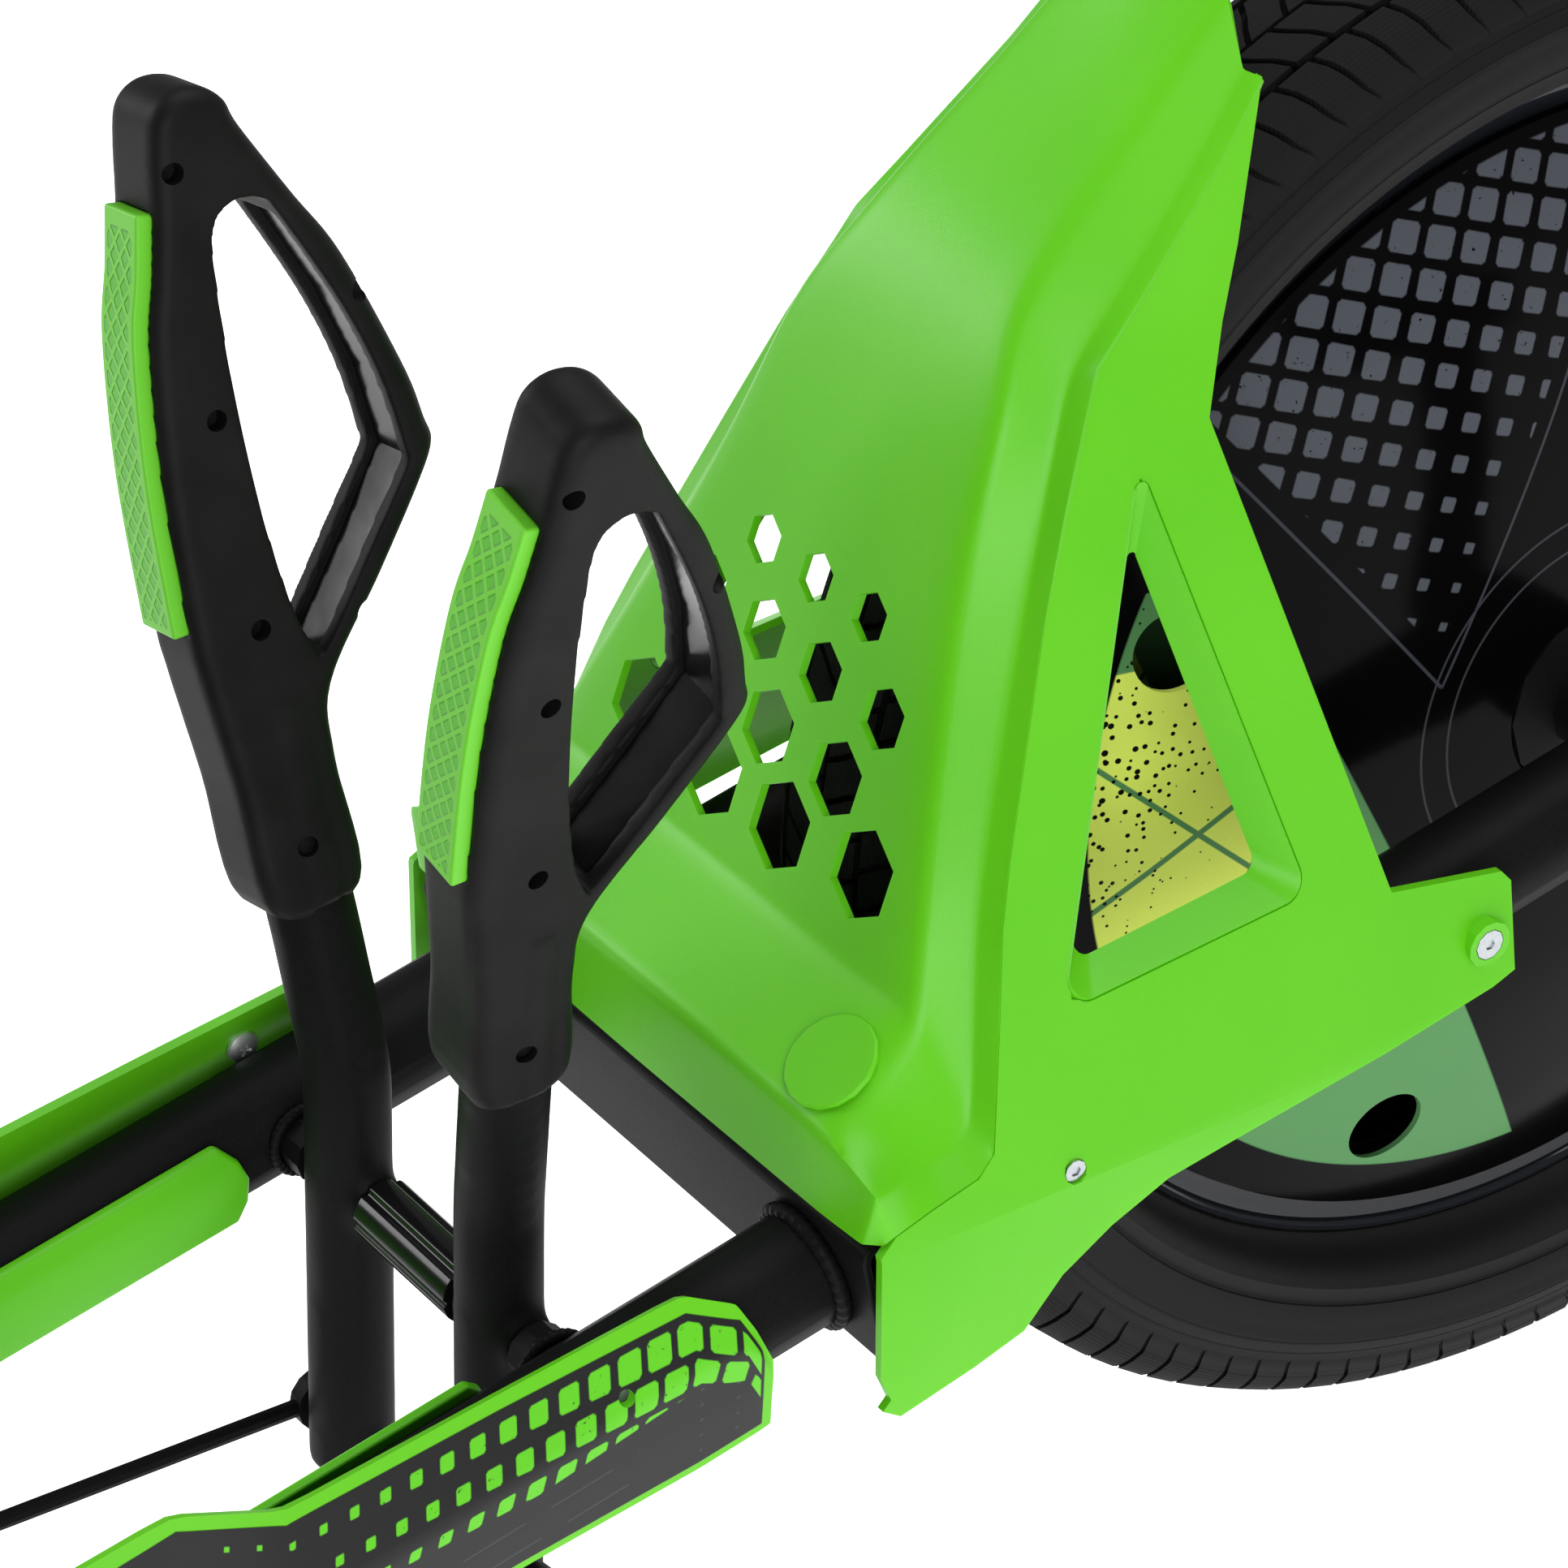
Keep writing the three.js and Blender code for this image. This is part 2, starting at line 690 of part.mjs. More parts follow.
// Cowl: sections from the rear lip, up the deck and the perforated face, over the brow
// to the tip. Each place is a share of the cowl's length, half width and height.
const cowlSectionShares = [
  {
    middle: [0.0075, 0.0047], valley: [0.01, 0.7863, 0.0062],
    ridge: [0.011, 0.9466, 0.0099], seam: [0.0275, 1, 0.0168]
  },
  {
    middle: [0.0175, 0.0994], valley: [0.015, 0.7756, 0.0957],
    ridge: [0.015, 0.9962, 0.0736], seam: [0.05, 0.9992, 0.0217]
  },
  {
    middle: [0.1, 0.1357], valley: [0.1, 0.771, 0.1351],
    ridge: [0.1275, 0.9107, 0.0575], seam: [0.1205, 0.9908, 0.0317]
  },
  {
    middle: [0.185, 0.1739], valley: [0.185, 0.7634, 0.1755],
    ridge: [0.193, 0.9046, 0.0646], seam: [0.209, 0.9824, 0.0425]
  },
  {
    middle: [0.1975, 0.1925], valley: [0.1965, 0.7443, 0.1941],
    ridge: [0.239, 0.8908, 0.0829], seam: [0.2425, 0.9702, 0.059]
  },
  {
    middle: [0.2175, 0.2283], valley: [0.218, 0.7084, 0.2298],
    ridge: [0.28, 0.8092, 0.1894], seam: [0.291, 0.8855, 0.1708]
  },
  {
    middle: [0.2275, 0.2453], valley: [0.228, 0.6916, 0.2469],
    ridge: [0.3045, 0.7656, 0.2469], seam: [0.3255, 0.8206, 0.255]
  },
  {
    middle: [0.2725, 0.3199], valley: [0.27, 0.6221, 0.3137],
    ridge: [0.342, 0.7137, 0.3152], seam: [0.3605, 0.7748, 0.3158]
  },
  {
    middle: [0.381, 0.4969], valley: [0.385, 0.4695, 0.4953],
    ridge: [0.469, 0.5763, 0.4969], seam: [0.4815, 0.6359, 0.4978]
  },
  {
    middle: [0.455, 0.6056], valley: [0.457, 0.4221, 0.6056],
    ridge: [0.5485, 0.4985, 0.6012], seam: [0.5625, 0.5573, 0.6087]
  },
  {
    middle: [0.5135, 0.6832], valley: [0.515, 0.3969, 0.6832],
    ridge: [0.6075, 0.4389, 0.6801], seam: [0.625, 0.5, 0.6832]
  },
  {
    middle: [0.575, 0.7547], valley: [0.58, 0.3053, 0.7531],
    ridge: [0.637, 0.413, 0.7137], seam: [0.655, 0.4733, 0.7205]
  },
  {
    middle: [0.67, 0.8168], valley: [0.67, 0.2748, 0.8137],
    ridge: [0.725, 0.4046, 0.7702], seam: [0.74, 0.4504, 0.7671]
  },
  {
    middle: [0.83, 0.9006], valley: [0.83, 0.2443, 0.8944],
    ridge: [0.895, 0.3511, 0.8696], seam: [0.91, 0.3969, 0.8665]
  },
  {
    middle: [1.01, 1.0186], valley: [1.01, 0.2214, 0.9969],
    ridge: [0.995, 0.3168, 0.9379], seam: [1.01, 0.3626, 0.9348]
  }
];

function cowlPlace([along, across, up]) {
  return at(cowlRearX + along * cowlLength, across * cowlHalfWidth, cowlBaseZ + up * cowlHeight);
}

function cowlHalfRow({ middle: [along, up], valley, ridge, seam }) {
  return [[along, 0, up], valley, ridge, seam].map(cowlPlace);
}

// Places on the slope of the deck, from the cowl's rear edge
const deckRise = 0.716;
const deckFoot = 2;
const deckEdgeX = -344.5;
const deckTilt = Math.atan(deckRise);
const deckZ = (x) => deckFoot + (x - deckEdgeX) * deckRise;

// Posts under the caps stand on the cross box
function cowlPost() {
  const [x, z] = onBox(postAlong, boxHeight / 2 + fitGap);
  const [topX, topZ] = onBox(postAlong, boxHeight / 2 + cowlHeight / 4);
  const post = rodBetween(at(x, capOffset, z), at(topX, capOffset, topZ), postRadius, 8);
  const under = cowlWall / 2;
  const [rear, front] = [cowlRearX - overrun, capX + 2 * overrun];
  const belowDeck = [[rear, deckZ(rear) - under], [front, deckZ(front) - under],
    [front, cowlBaseZ - cowlHeight], [rear, cowlBaseZ - cowlHeight]];
  return common(post, acrossPlate(belowDeck, 0, cowlHalfWidth));
}

function centreCowl() {
  const outer = cowlSectionShares.map((section) => {
    const half = cowlHalfRow(section);
    const far = half.slice(1).reverse().map((p) => at(p.x, -p.y, p.z));
    return [...far, ...half];
  });
  const normals = gridNormals(outer);
  const last = outer[0].length - 1;
  const inner = outer.map((row, i) => row.map((point, j) => {
    if (j === 0) return point.clone().add(at(0, cowlWall, 0));
    if (j === last) return point.clone().add(at(0, -cowlWall, 0));
    return point.clone().addScaledVector(normals[i][j], cowlWall);
  }));
  return joined(gridBody(outer, inner), cowlPost(), mirrored(cowlPost()));
}

// A disc on the deck, from one height square to it up to another
function deckDisc(radius, from, to, sides) {
  const up = at(-Math.sin(deckTilt), 0, Math.cos(deckTilt));
  const foot = at(capX, capOffset, deckZ(capX));
  const place = (height) => foot.clone().addScaledVector(up, height);
  return rodBetween(place(from), place(to), radius, sides);
}

function cowlCap() {
  return deckDisc(capRadius, -capRecess + fitGap, capThickness - capRecess + fitGap, 16);
}

// Hexagonal holes in staggered rows, each row as height, width and places across
const holeRowShares = [
  { up: 0.4645, wide: 0.0554, across: [0, 0.107] },
  { up: 0.3929, wide: 0.0687, across: [0.0573, 0.181] },
  { up: 0.3183, wide: 0.084, across: [0, 0.1374] },
  { up: 0.2469, wide: 0.0992, across: [0.0706] },
  { up: 0.2595, wide: 0.0992, across: [0.229] }
];

// The face's place at a height, on the middle line of the cowl
function faceX(z) {
  const line = cowlSectionShares.map(({ middle: [along, up] }) => cowlPlace([along, 0, up]));
  const i = Math.max(line.findIndex((p) => p.z > z), 1);
  const share = (z - line[i - 1].z) / (line[i].z - line[i - 1].z);
  return line[i - 1].x + share * (line[i].x - line[i - 1].x);
}

function hexagonPrism(y, z, width) {
  const radius = width / Math.sqrt(3);
  const corners = [];
  for (let i = 0; i < 6; i++) {
    const angle = ((i + 0.5) * Math.PI) / 3;
    corners.push(new THREE.Vector2(y + radius * Math.cos(angle), radius * Math.sin(angle)));
  }
  const prism = new THREE.ExtrudeGeometry(new THREE.Shape(corners), {
    depth: cowlHoleReach, bevelEnabled: false
  });
  const [back, rise] = [Math.cos(faceLean) * cowlHoleReach / 2, Math.sin(faceLean) * cowlHoleReach / 2];
  return prism.rotateX(Math.PI / 2).rotateZ(Math.PI / 2).rotateY(faceLean)
    .translate(faceX(z) - back, 0, z + rise);
}

function cowlHoles() {
  const width = 2 * cowlHalfWidth;
  const holes = [];
  for (const row of holeRowShares) {
    for (const across of row.across) {
      const z = cowlBaseZ + row.up * cowlHeight;
      holes.push(hexagonPrism(across * width, z, row.wide * width));
      if (across > 0) holes.push(hexagonPrism(-across * width, z, row.wide * width));
    }
  }
  return holes;
}

// Side panels: a flat slab that leans inwards, cut to its outline
const sideOutlineShares = [
  [0.688, 0.788], [0.619, 0.640], [0.661, 0.488], [0.758, 0.147], [0.913, 0.125], [0.924, 0.113],
  [0.910, 0.028], [0.876, 0.020], [0.497, -0.027], [0.406, -0.039], [0.328, -0.066],
  [0.260, -0.100], [0.207, -0.147], [0.138, -0.165], [0.038, -0.185], [0.014, -0.171],
  [0.025, -0.161], [0.011, -0.131], [0.013, 0.006]
];
const windowShares = [[0.4945, 0.5733], [0.3154, 0.2043], [0.5915, 0.223]];
const windowLipShares = [[0.5184, 0.6289], [0.2956, 0.1581], [0.6489, 0.1764]];

// The lower screw lies flush, and the one on the arm stands on a boss
const sideScrews = [
  { place: [0.279, 0.0118], head: sideScrewHead, boss: 0, proud: 0 },
  { place: [0.875, 0.0658], head: armScrewHead, boss: armBossRadius, proud: armBossProud }
];

// Half width of the panel's outer face against its height, each as a share
const slabShares = [
  [1.0153, -0.3], [1.0153, 0], [0.4662, 0.7205], [0.296, 1.05]
];

function onSide([along, up]) {
  return [cowlRearX + along * sideLength, cowlBaseZ + up * cowlHeight];
}

function slabY(z) {
  const points = slabShares.map(([half, up]) => [half * cowlHalfWidth, cowlBaseZ + up * cowlHeight]);
  for (let i = 0; i < points.length - 1; i++) {
    const [[yLow, zLow], [yHigh, zHigh]] = [points[i], points[i + 1]];
    const last = i === points.length - 2;
    if (z <= zHigh || last) return yLow + ((z - zLow) / (zHigh - zLow)) * (yHigh - yLow);
  }
  return points[0][0];
}

function sideSlab(inset, thickness) {
  const heights = slabShares.map(([, up]) => cowlBaseZ + up * cowlHeight);
  const outer = heights.map((z) => [slabY(z) - inset, z]);
  const inner = heights.map((z) => [slabY(z) - inset - thickness, z]).reverse();
  const shape = new THREE.Shape([...outer, ...inner].map(([y, z]) => new THREE.Vector2(y, z)));
  const length = sideLength * 1.2;
  const slab = new THREE.ExtrudeGeometry(shape, { depth: length, bevelEnabled: false });
  const rear = cowlRearX - sideLength * 0.1;
  return faceOut(slab.rotateX(Math.PI / 2).rotateZ(Math.PI / 2).translate(rear, 0, 0));
}

// The panel's upper edge runs a gap below the cowl's seam
function seamEdge() {
  const seam = cowlSectionShares.map(({ seam }) => cowlPlace(seam)).map((p) => [p.x, p.z]);
  return seam.map(([x, z], i) => {
    const [x0, z0] = seam[Math.max(i - 1, 0)];
    const [x1, z1] = seam[Math.min(i + 1, seam.length - 1)];
    const run = Math.hypot(x1 - x0, z1 - z0);
    return [x + (seamGap * (z1 - z0)) / run, z - (seamGap * (x1 - x0)) / run];
  });
}

function sidePanel() {
  const reach = cowlHalfWidth + overrun;
  const outline = [...sideOutlineShares.map(onSide), ...seamEdge().slice(1)];
  const plate = common(acrossPlate(outline, 0, reach), sideSlab(0, cowlWall));
  const bosses = sideScrews.filter(({ boss }) => boss > 0).map(({ place, boss, proud }) => {
    const [x, z] = onSide(place);
    return acrossRod(x, z, slabY(z) - cowlWall, slabY(z) + proud, boss, 12);
  });
  const screwHoles = sideScrews.flatMap(({ place, head, proud }) => {
    const [x, z] = onSide(place);
    return [acrossRod(x, z, 0, reach, screwShank + fitGap, 8),
      acrossRod(x, z, slabY(z) + proud - screwSink, reach, head + fitGap, 10)];
  });
  const opening = acrossPlate(roundedOutline(windowShares.map(onSide), windowRound, 3), 0, reach);
  const lip = acrossPlate(roundedOutline(windowLipShares.map(onSide), windowRound * 1.5, 2), 0, reach);
  const bevel = common(lip, sideSlab(-overrun, overrun + cowlWall / 2));
  return cutAway(joined(plate, ...bosses), ...screwHoles, opening, bevel);
}

function sideScrew({ place, head, proud }) {
  const [x, z] = onSide(place);
  const seat = slabY(z) + proud - screwSink;
  const cap = acrossRod(x, z, seat + fitGap, seat + screwSink, head, 10);
  const shank = acrossRod(x, z, seat - screwReach, seat + screwSink / 2, screwShank, 8);
  return cutAway(joined(cap, shank), hexSocket(x, z, seat + screwSink));
}

function hexSocket(x, z, y) {
  return acrossRod(x, z, y - screwSink / 2, y + overrun, screwShank * 0.8, 6);
}

// Rail covers: each station is a place along the rail and, for the outer cover's top, fold
// and bottom, the distance across and the height above the rail's centre line
const outerStationShares = [
  { x: 1.0, rows: [[0.982, -0.04], [0.982, -0.12], [0.972, -0.24], [0.965, -0.36]] },
  { x: 0.988, rows: [[0.962, 0.12], [0.99, 0.02], [0.982, -0.16], [0.968, -0.36]] },
  { x: 0.974, rows: [[0.935, 0.26], [0.992, 0.1], [0.982, -0.15], [0.968, -0.36]] },
  { x: 0.929, rows: [[0.9, 0.4], [0.992, 0.13], [0.982, -0.12], [0.968, -0.36]] },
  { x: 0.754, rows: [[0.9, 0.46], [0.992, 0.13], [0.982, -0.1], [0.968, -0.31]] },
  { x: 0.555, rows: [[0.9, 0.52], [0.992, 0.14], [0.982, -0.08], [0.968, -0.3]] },
  { x: 0.455, rows: [[0.9, 0.8], [0.992, 0.18], [0.982, -0.06], [0.968, -0.3]] },
  { x: 0.25, rows: [[0.9, 0.8], [0.992, 0.18], [0.982, -0.06], [0.968, -0.3]] },
  { x: 0.04, rows: [[0.92, 0.58], [0.992, 0.14], [0.982, -0.06], [0.968, -0.3]] },
  { x: 0.0, rows: [[0.94, 0.4], [0.992, 0.12], [0.982, -0.06], [0.968, -0.24]] }
];

function outerCoverSurface() {
  const length = outerCoverFrontX - outerCoverRearX;
  return outerStationShares.map(({ x, rows }) => rows.map(([half, up]) => {
    const place = outerCoverRearX + x * length;
    return at(place, half * outerCoverHalf, railZ(place) + up * outerCoverHeight);
  }));
}

function shifted(grid, distance) {
  return grid.map((row) => row.map((p) => at(p.x, p.y + distance, p.z)));
}

// The graphic panel's own stations, kept inside the cover's edges
const panelStationShares = [
  { x: 0.955, rows: [[0.929, 0.235], [0.983, 0.08], [0.977, -0.13], [0.972, -0.28]] },
  { x: 0.92, rows: [[0.917, 0.31], [0.983, 0.12], [0.977, -0.1], [0.972, -0.27]] },
  { x: 0.754, rows: [[0.917, 0.37], [0.983, 0.13], [0.977, -0.09], [0.972, -0.23]] },
  { x: 0.54, rows: [[0.917, 0.43], [0.983, 0.14], [0.977, -0.07], [0.972, -0.22]] },
  { x: 0.44, rows: [[0.914, 0.68], [0.983, 0.18], [0.977, -0.05], [0.972, -0.22]] },
  { x: 0.25, rows: [[0.914, 0.68], [0.983, 0.18], [0.977, -0.05], [0.972, -0.22]] },
  { x: 0.06, rows: [[0.934, 0.46], [0.983, 0.14], [0.977, -0.05], [0.972, -0.21]] }
];

function panelSurface() {
  const length = outerCoverFrontX - outerCoverRearX;
  const cover = outerCoverSurface();
  return panelStationShares.map(({ x, rows }) => rows.map(([, up]) => {
    const place = outerCoverRearX + x * length;
    const z = railZ(place) + up * outerCoverHeight;
    return at(place, surfaceY(cover, place, z), z);
  }));
}

// Distance across of the cover's face at a place along it and a height
function surfaceY(grid, x, z) {
  let i = 0;
  while (i < grid.length - 2 && grid[i + 1][0].x > x) i++;
  const share = (x - grid[i][0].x) / (grid[i + 1][0].x - grid[i][0].x);
  const row = grid[i].map((p, j) => p.clone().lerp(grid[i + 1][j], share));
  let j = 0;
  while (j < row.length - 2 && row[j + 1].z > z) j++;
  const down = (z - row[j].z) / (row[j + 1].z - row[j].z);
  return row[j].y + down * (row[j + 1].y - row[j].y);
}

function outerCover() {
  const face = outerCoverSurface();
  const shell = gridBody(face, shifted(face, -outerCoverWall));
  const recess = panelGrown(panelSurface(), fitGap);
  const sunk = gridBody(shifted(recess, overrun), shifted(recess, -panelDepth - fitGap));
  return cutAway(shell, sunk, coverScrewBore());
}

function panelGrown(grid, grow) {
  const rows = grid.length - 1;
  const columns = grid[0].length - 1;
  return grid.map((row, i) => row.map((p, j) => {
    const x = p.x + (i === 0 ? grow : 0) - (i === rows ? grow : 0);
    const z = p.z + (j === 0 ? grow : 0) - (j === columns ? grow : 0);
    return at(x, p.y, z);
  }));
}

function coverPanel() {
  const face = panelSurface();
  return gridBody(face, shifted(face, -panelDepth));
}

function coverScrewPlace() {
  const length = outerCoverFrontX - outerCoverRearX;
  const x = outerCoverRearX + coverScrewShare * length;
  return [x, railZ(x) + coverScrewUp];
}

function coverScrewBore() {
  const [x, z] = coverScrewPlace();
  return acrossRod(x, z, 0, outerCoverHalf * 2, screwShank + fitGap, 12);
}

// The inner cover is a plate along the inner side of the rail with a rounded front end
const innerStationShares = [
  { x: [0.964, 0.988, 1.0, 0.998, 0.985] },
  { x: [0.93, 0.93, 0.93, 0.93, 0.93] },
  { x: [0.5, 0.5, 0.5, 0.5, 0.5] },
  { x: [0.24, 0.24, 0.24, 0.24, 0.24] },
  { x: [0.16, 0.16, 0.16, 0.16, 0.16] },
  { x: [0.0, 0.0, 0.0, 0.0, 0.0] }
];
const innerProfileShares = [
  [0.785, 0.82], [0.748, 0.45], [0.7415, 0.05], [0.748, -0.4], [0.762, -0.78]
];

function innerCover() {
  const length = innerCoverFrontX - innerCoverRearX;
  const face = innerStationShares.map(({ x }) => innerProfileShares.map(([half, up], j) => {
    const place = innerCoverRearX + x[j] * length;
    return at(place, half * railOffset, railZ(place) + up * railRadius);
  }));
  return gridBody(face, shifted(face, innerCoverWall));
}

// Front wheel

const tyreProfileShares = [
  [0.7798, 0.438], [0.806, 0.86], [0.87, 1], [0.952, 0.85], [1, 0.24]
];

function frontTyre() {
  const half = tyreProfileShares.map(([out, wide]) => [out * tyreRadius, -wide * tyreHalfWidth]);
  return turned([...half, ...half.slice().reverse().map(([r, y]) => [r, -y])], tyreSides);
}

function frontRim() {
  const well = rimRadius - rimDepth;
  const half = [[well, -rimHalfWidth * 0.62], [rimRadius - fitGap, -rimHalfWidth],
    [rimRadius + rimLip, -rimHalfWidth]];
  return turned([...half, ...half.slice().reverse().map(([r, y]) => [r, -y])], tyreSides);
}

// The wheel cover's distance out from the hub and its dish, each as a share
const coverShares = [[0.0, 1.0], [0.45, 0.86], [1.0, 0.4]];

function wheelCover() {
  const reach = coverRadius - coverHubRadius;
  const outer = coverShares.map(([out, dish]) => [coverHubRadius + out * reach, dish * coverDish]);
  const inner = outer.map(([r, y]) => [r, y - coverWall]).reverse();
  const holes = [];
  for (let i = 0; i < coverHoleCount; i++) {
    const angle = coverHoleTurn + (2 * i * Math.PI) / coverHoleCount;
    const [x, z] = [coverHoleCircle * Math.cos(angle), coverHoleCircle * Math.sin(angle)];
    holes.push(acrossRod(x, z, 0, coverDish + overrun, coverHoleRadius, 10));
  }
  return cutAway(faceOut(turned([...outer, ...inner], wheelSides)), ...holes);
}

// Half of the hub, as shares of its flange radius and of its reach to each side
const hubShares = [[0.5, 1], [0.55, 0.657], [1, 0.629], [1, 0.531], [0.62, 0.462]];
const spokeRootShare = [0.8, 0.56];
const spokeTipShare = 0.24;

function frontHub() {
  const half = [[axleRadius + fitGap * 1.5, hubReach],
    ...hubShares.map(([out, along]) => [out * hubFlangeRadius, along * hubReach])];
  const profile = [...half.map(([r, y]) => [r, -y]), ...half.slice().reverse()];
  const root = spokeRootShare[0] * hubFlangeRadius;
  const reach = (rimRadius - rimDepth) * Math.cos(Math.PI / tyreSides) - fitGap;
  const spokes = [];
  for (let i = 0; i < spokeCount; i++) {
    const side = i % 2 ? 1 : -1;
    const lean = i % 4 < 2 ? 1 : -1;
    const rimAngle = (2 * Math.PI * i) / spokeCount;
    const hubAngle = rimAngle + lean * spokeCross;
    const from = at(root * Math.cos(hubAngle), side * spokeRootShare[1] * hubReach, root * Math.sin(hubAngle));
    const to = at(reach * Math.cos(rimAngle), side * spokeTipShare * rimHalfWidth, reach * Math.sin(rimAngle));
    spokes.push(rodBetween(from, to, spokeWidth * 0.7, 3));
  }
  return joined(faceOut(turned(profile, hubSides)), ...spokes);
}

function spindle() {
  const reach = crankInner + crankThickness * (crankSocketShare - 0.04);
  return acrossRod(0, 0, -reach, reach, axleRadius, 16);
}

function crank(up) {
  const outer = crankInner + crankThickness;
  const arm = [];
  [[0, crankBossRadius, 1], [crankLength, crankTipRadius, -1]].forEach(([along, radius, way]) => {
    for (let i = 0; i <= 6; i++) {
      const angle = (Math.PI * i) / 6;
      arm.push([way * radius * Math.cos(angle), along - way * radius * Math.sin(angle)]);
    }
  });
  const bar = acrossPlate(arm, crankInner, outer);
  const pin = acrossRod(0, crankLength, crankInner, outer + pedalWidth + pedalPinSpare, pedalPinRadius, 12);
  const socketEnd = crankInner + crankThickness * crankSocketShare;
  const bore = acrossRod(0, 0, crankInner - overrun, socketEnd, axleRadius + fitGap, 16);
  const whole = cutAway(joined(bar, pin), bore);
  return up > 0 ? whole : whole.rotateY(Math.PI);
}

function pedal(up) {
  const inner = crankInner + crankThickness + pedalSpace;
  const half = pedalLength / 2;
  const thick = pedalThickness / 2;
  const body = roundedOutline([[-half, -thick], [half, -thick], [half, thick], [-half, thick]], pedalRound, 2);
  const block = acrossPlate(body.map(([x, z]) => [x, z + crankLength]), inner, inner + pedalWidth);
  const boreRadius = pedalPinRadius + runningGap;
  const bore = acrossRod(0, crankLength, 0, inner + pedalWidth + overrun, boreRadius, 12);
  const whole = cutAway(block, bore);
  return up > 0 ? whole : whole.translate(0, 0, -2 * crankLength);
}

// Rear truck

function mountPlate() {
  const half = railOffset + mountPlateSpare;
  const [rear, front] = [kingpinX - mountPlateHalfLength, kingpinX + mountPlateHalfLength];
  const outline = roundedRectangle(rear, front, -half, half, mountPlateRound, 2);
  const hole = ringPoints(kingpinRadius + runningGap, 14).map(([x, y]) => [x + kingpinX, y]);
  const plate = flatPlate(outline, mountPlateTop - mountPlateThickness, mountPlateTop, [hole]);
  const ringTop = mountPlateTop - mountPlateThickness / 2;
  const ringHole = kingpinRadius + runningGap;
  const ring = uprightRod(kingpinX, 0, thrustTop - thrustThickness, ringTop, thrustRadius, 14, ringHole);
  return joined(plate, ring);
}

// Half of the truck plate's outline, as shares of its half width
const truckPlateShares = [[0.429, 0.459], [0.184, 1], [-0.184, 1], [-0.469, 0.612]];

function truckPlate() {
  const half = truckPlateShares.map(([x, y]) => [kingpinX + x * truckPlateHalfWidth, y * truckPlateHalfWidth]);
  const corners = [...half, ...half.slice().reverse().map(([x, y]) => [x, -y])];
  const outline = roundedOutline(corners, truckPlateRound, 2);
  const hole = ringPoints(kingpinRadius + runningGap, 14).map(([x, y]) => [x + kingpinX, y]);
  const slots = [-1, 1].map((side) => ringPoints(rodPinRadius + rodSlack, 14)
    .map(([x, y]) => [x + kingpinX, y + side * rodArm]));
  return flatPlate(outline, truckPlateTop - truckPlateThickness, truckPlateTop, [hole, ...slots]);
}

function kingpin() {
  const nutTop = truckPlateTop - truckPlateThickness - runningGap;
  const nutBase = nutTop - kingpinNutHeight;
  const headTop = mountPlateTop + kingpinHeadHeight;
  const flats = kingpinRadius * kingpinHeadShare;
  const shaft = uprightRod(kingpinX, 0, nutBase - kingpinSpare, headTop - kingpinSpare, kingpinRadius, 14);
  const head = uprightRod(kingpinX, 0, mountPlateTop + fitGap, headTop, flats, 6);
  return joined(shaft, head, uprightRod(kingpinX, 0, nutBase, nutTop, flats, 6));
}

function axleTube() {
  const reach = rearTrackHalf - rearTyreHalfWidth - axleTubeSpace;
  const bore = rearAxleRadius + runningGap;
  return acrossRod(rearAxleX, axleTubeZ, -reach, reach, axleTubeRadius, 12, bore);
}

function rearAxle() {
  const from = rearTrackHalf + rearTyreHalfWidth;
  const reach = from + rearAxleSpare;
  const rod = acrossRod(rearAxleX, axleTubeZ, -reach, reach, rearAxleRadius, 12);
  const nut = acrossRod(rearAxleX, axleTubeZ, from, from + rearNutHeight, rearAxleRadius * 1.7, 6);
  return joined(rod, nut, mirrored(nut));
}

const rearProfileShares = [[rearRimShare, 0.933], [0.913, 1], [0.983, 0.867], [1, 0.6]];

function rearTyre() {
  const half = rearProfileShares.map(([out, wide]) => [out * rearTyreRadius, -wide * rearTyreHalfWidth]);
  const ring = turned([...half, ...half.slice().reverse().map(([r, y]) => [r, -y])], rearSides);
  return faceOut(ring).translate(rearAxleX, rearTrackHalf, axleTubeZ);
}

function rearHub() {
  const out = rearRimRadius - fitGap * 1.5;
  const well = out - rearRimWall;
  const half = [[rearAxleRadius + runningGap, -rearHubHalf], [rearHubRadius, -rearHubHalf],
    [rearHubRadius, -rearWebHalf], [well, -rearWebHalf], [well, -rearRimHalf], [out, -rearRimHalf]];
  const ring = turned([...half, ...half.slice().reverse().map(([r, y]) => [r, -y])], rearSides);
  return faceOut(ring).translate(rearAxleX, rearTrackHalf, axleTubeZ);
}

// The rod's rear pin stands in a slot of the truck plate, halfway along the slot's swing
function steeringRod() {
  const [x, z] = rodPlace();
  const eyeY = leverOffset + leverTubeRadius + fitGap * 2;
  const eye = acrossRod(x, z, eyeY, eyeY + rodEyeThickness, rodEyeRadius, 14);
  const start = at(x - rodEyeRadius * 0.6, eyeY + rodEyeThickness / 2, z);
  const pinY = rodArm * rodArmShare;
  const bar = rodBetween(start, at(kingpinX, pinY, z), rodRadius, 10);
  const pin = uprightRod(kingpinX, pinY, z - rodRadius * 1.5, truckPlateTop - rodPinDrop, rodPinRadius, 10);
  const bore = acrossRod(x, z, 0, eyeY + overrun, rodPinRadius + runningGap, 10);
  return cutAway(joined(eye, bar, pin), bore);
}

function rodPin() {
  const [x, z] = rodPlace();
  const inner = leverOffset - leverTubeRadius - rodPinSpare;
  const outer = leverOffset + leverTubeRadius + rodEyeThickness + rodPinSpare;
  return acrossRod(x, z, inner, outer, rodPinRadius, 10);
}

// Seat

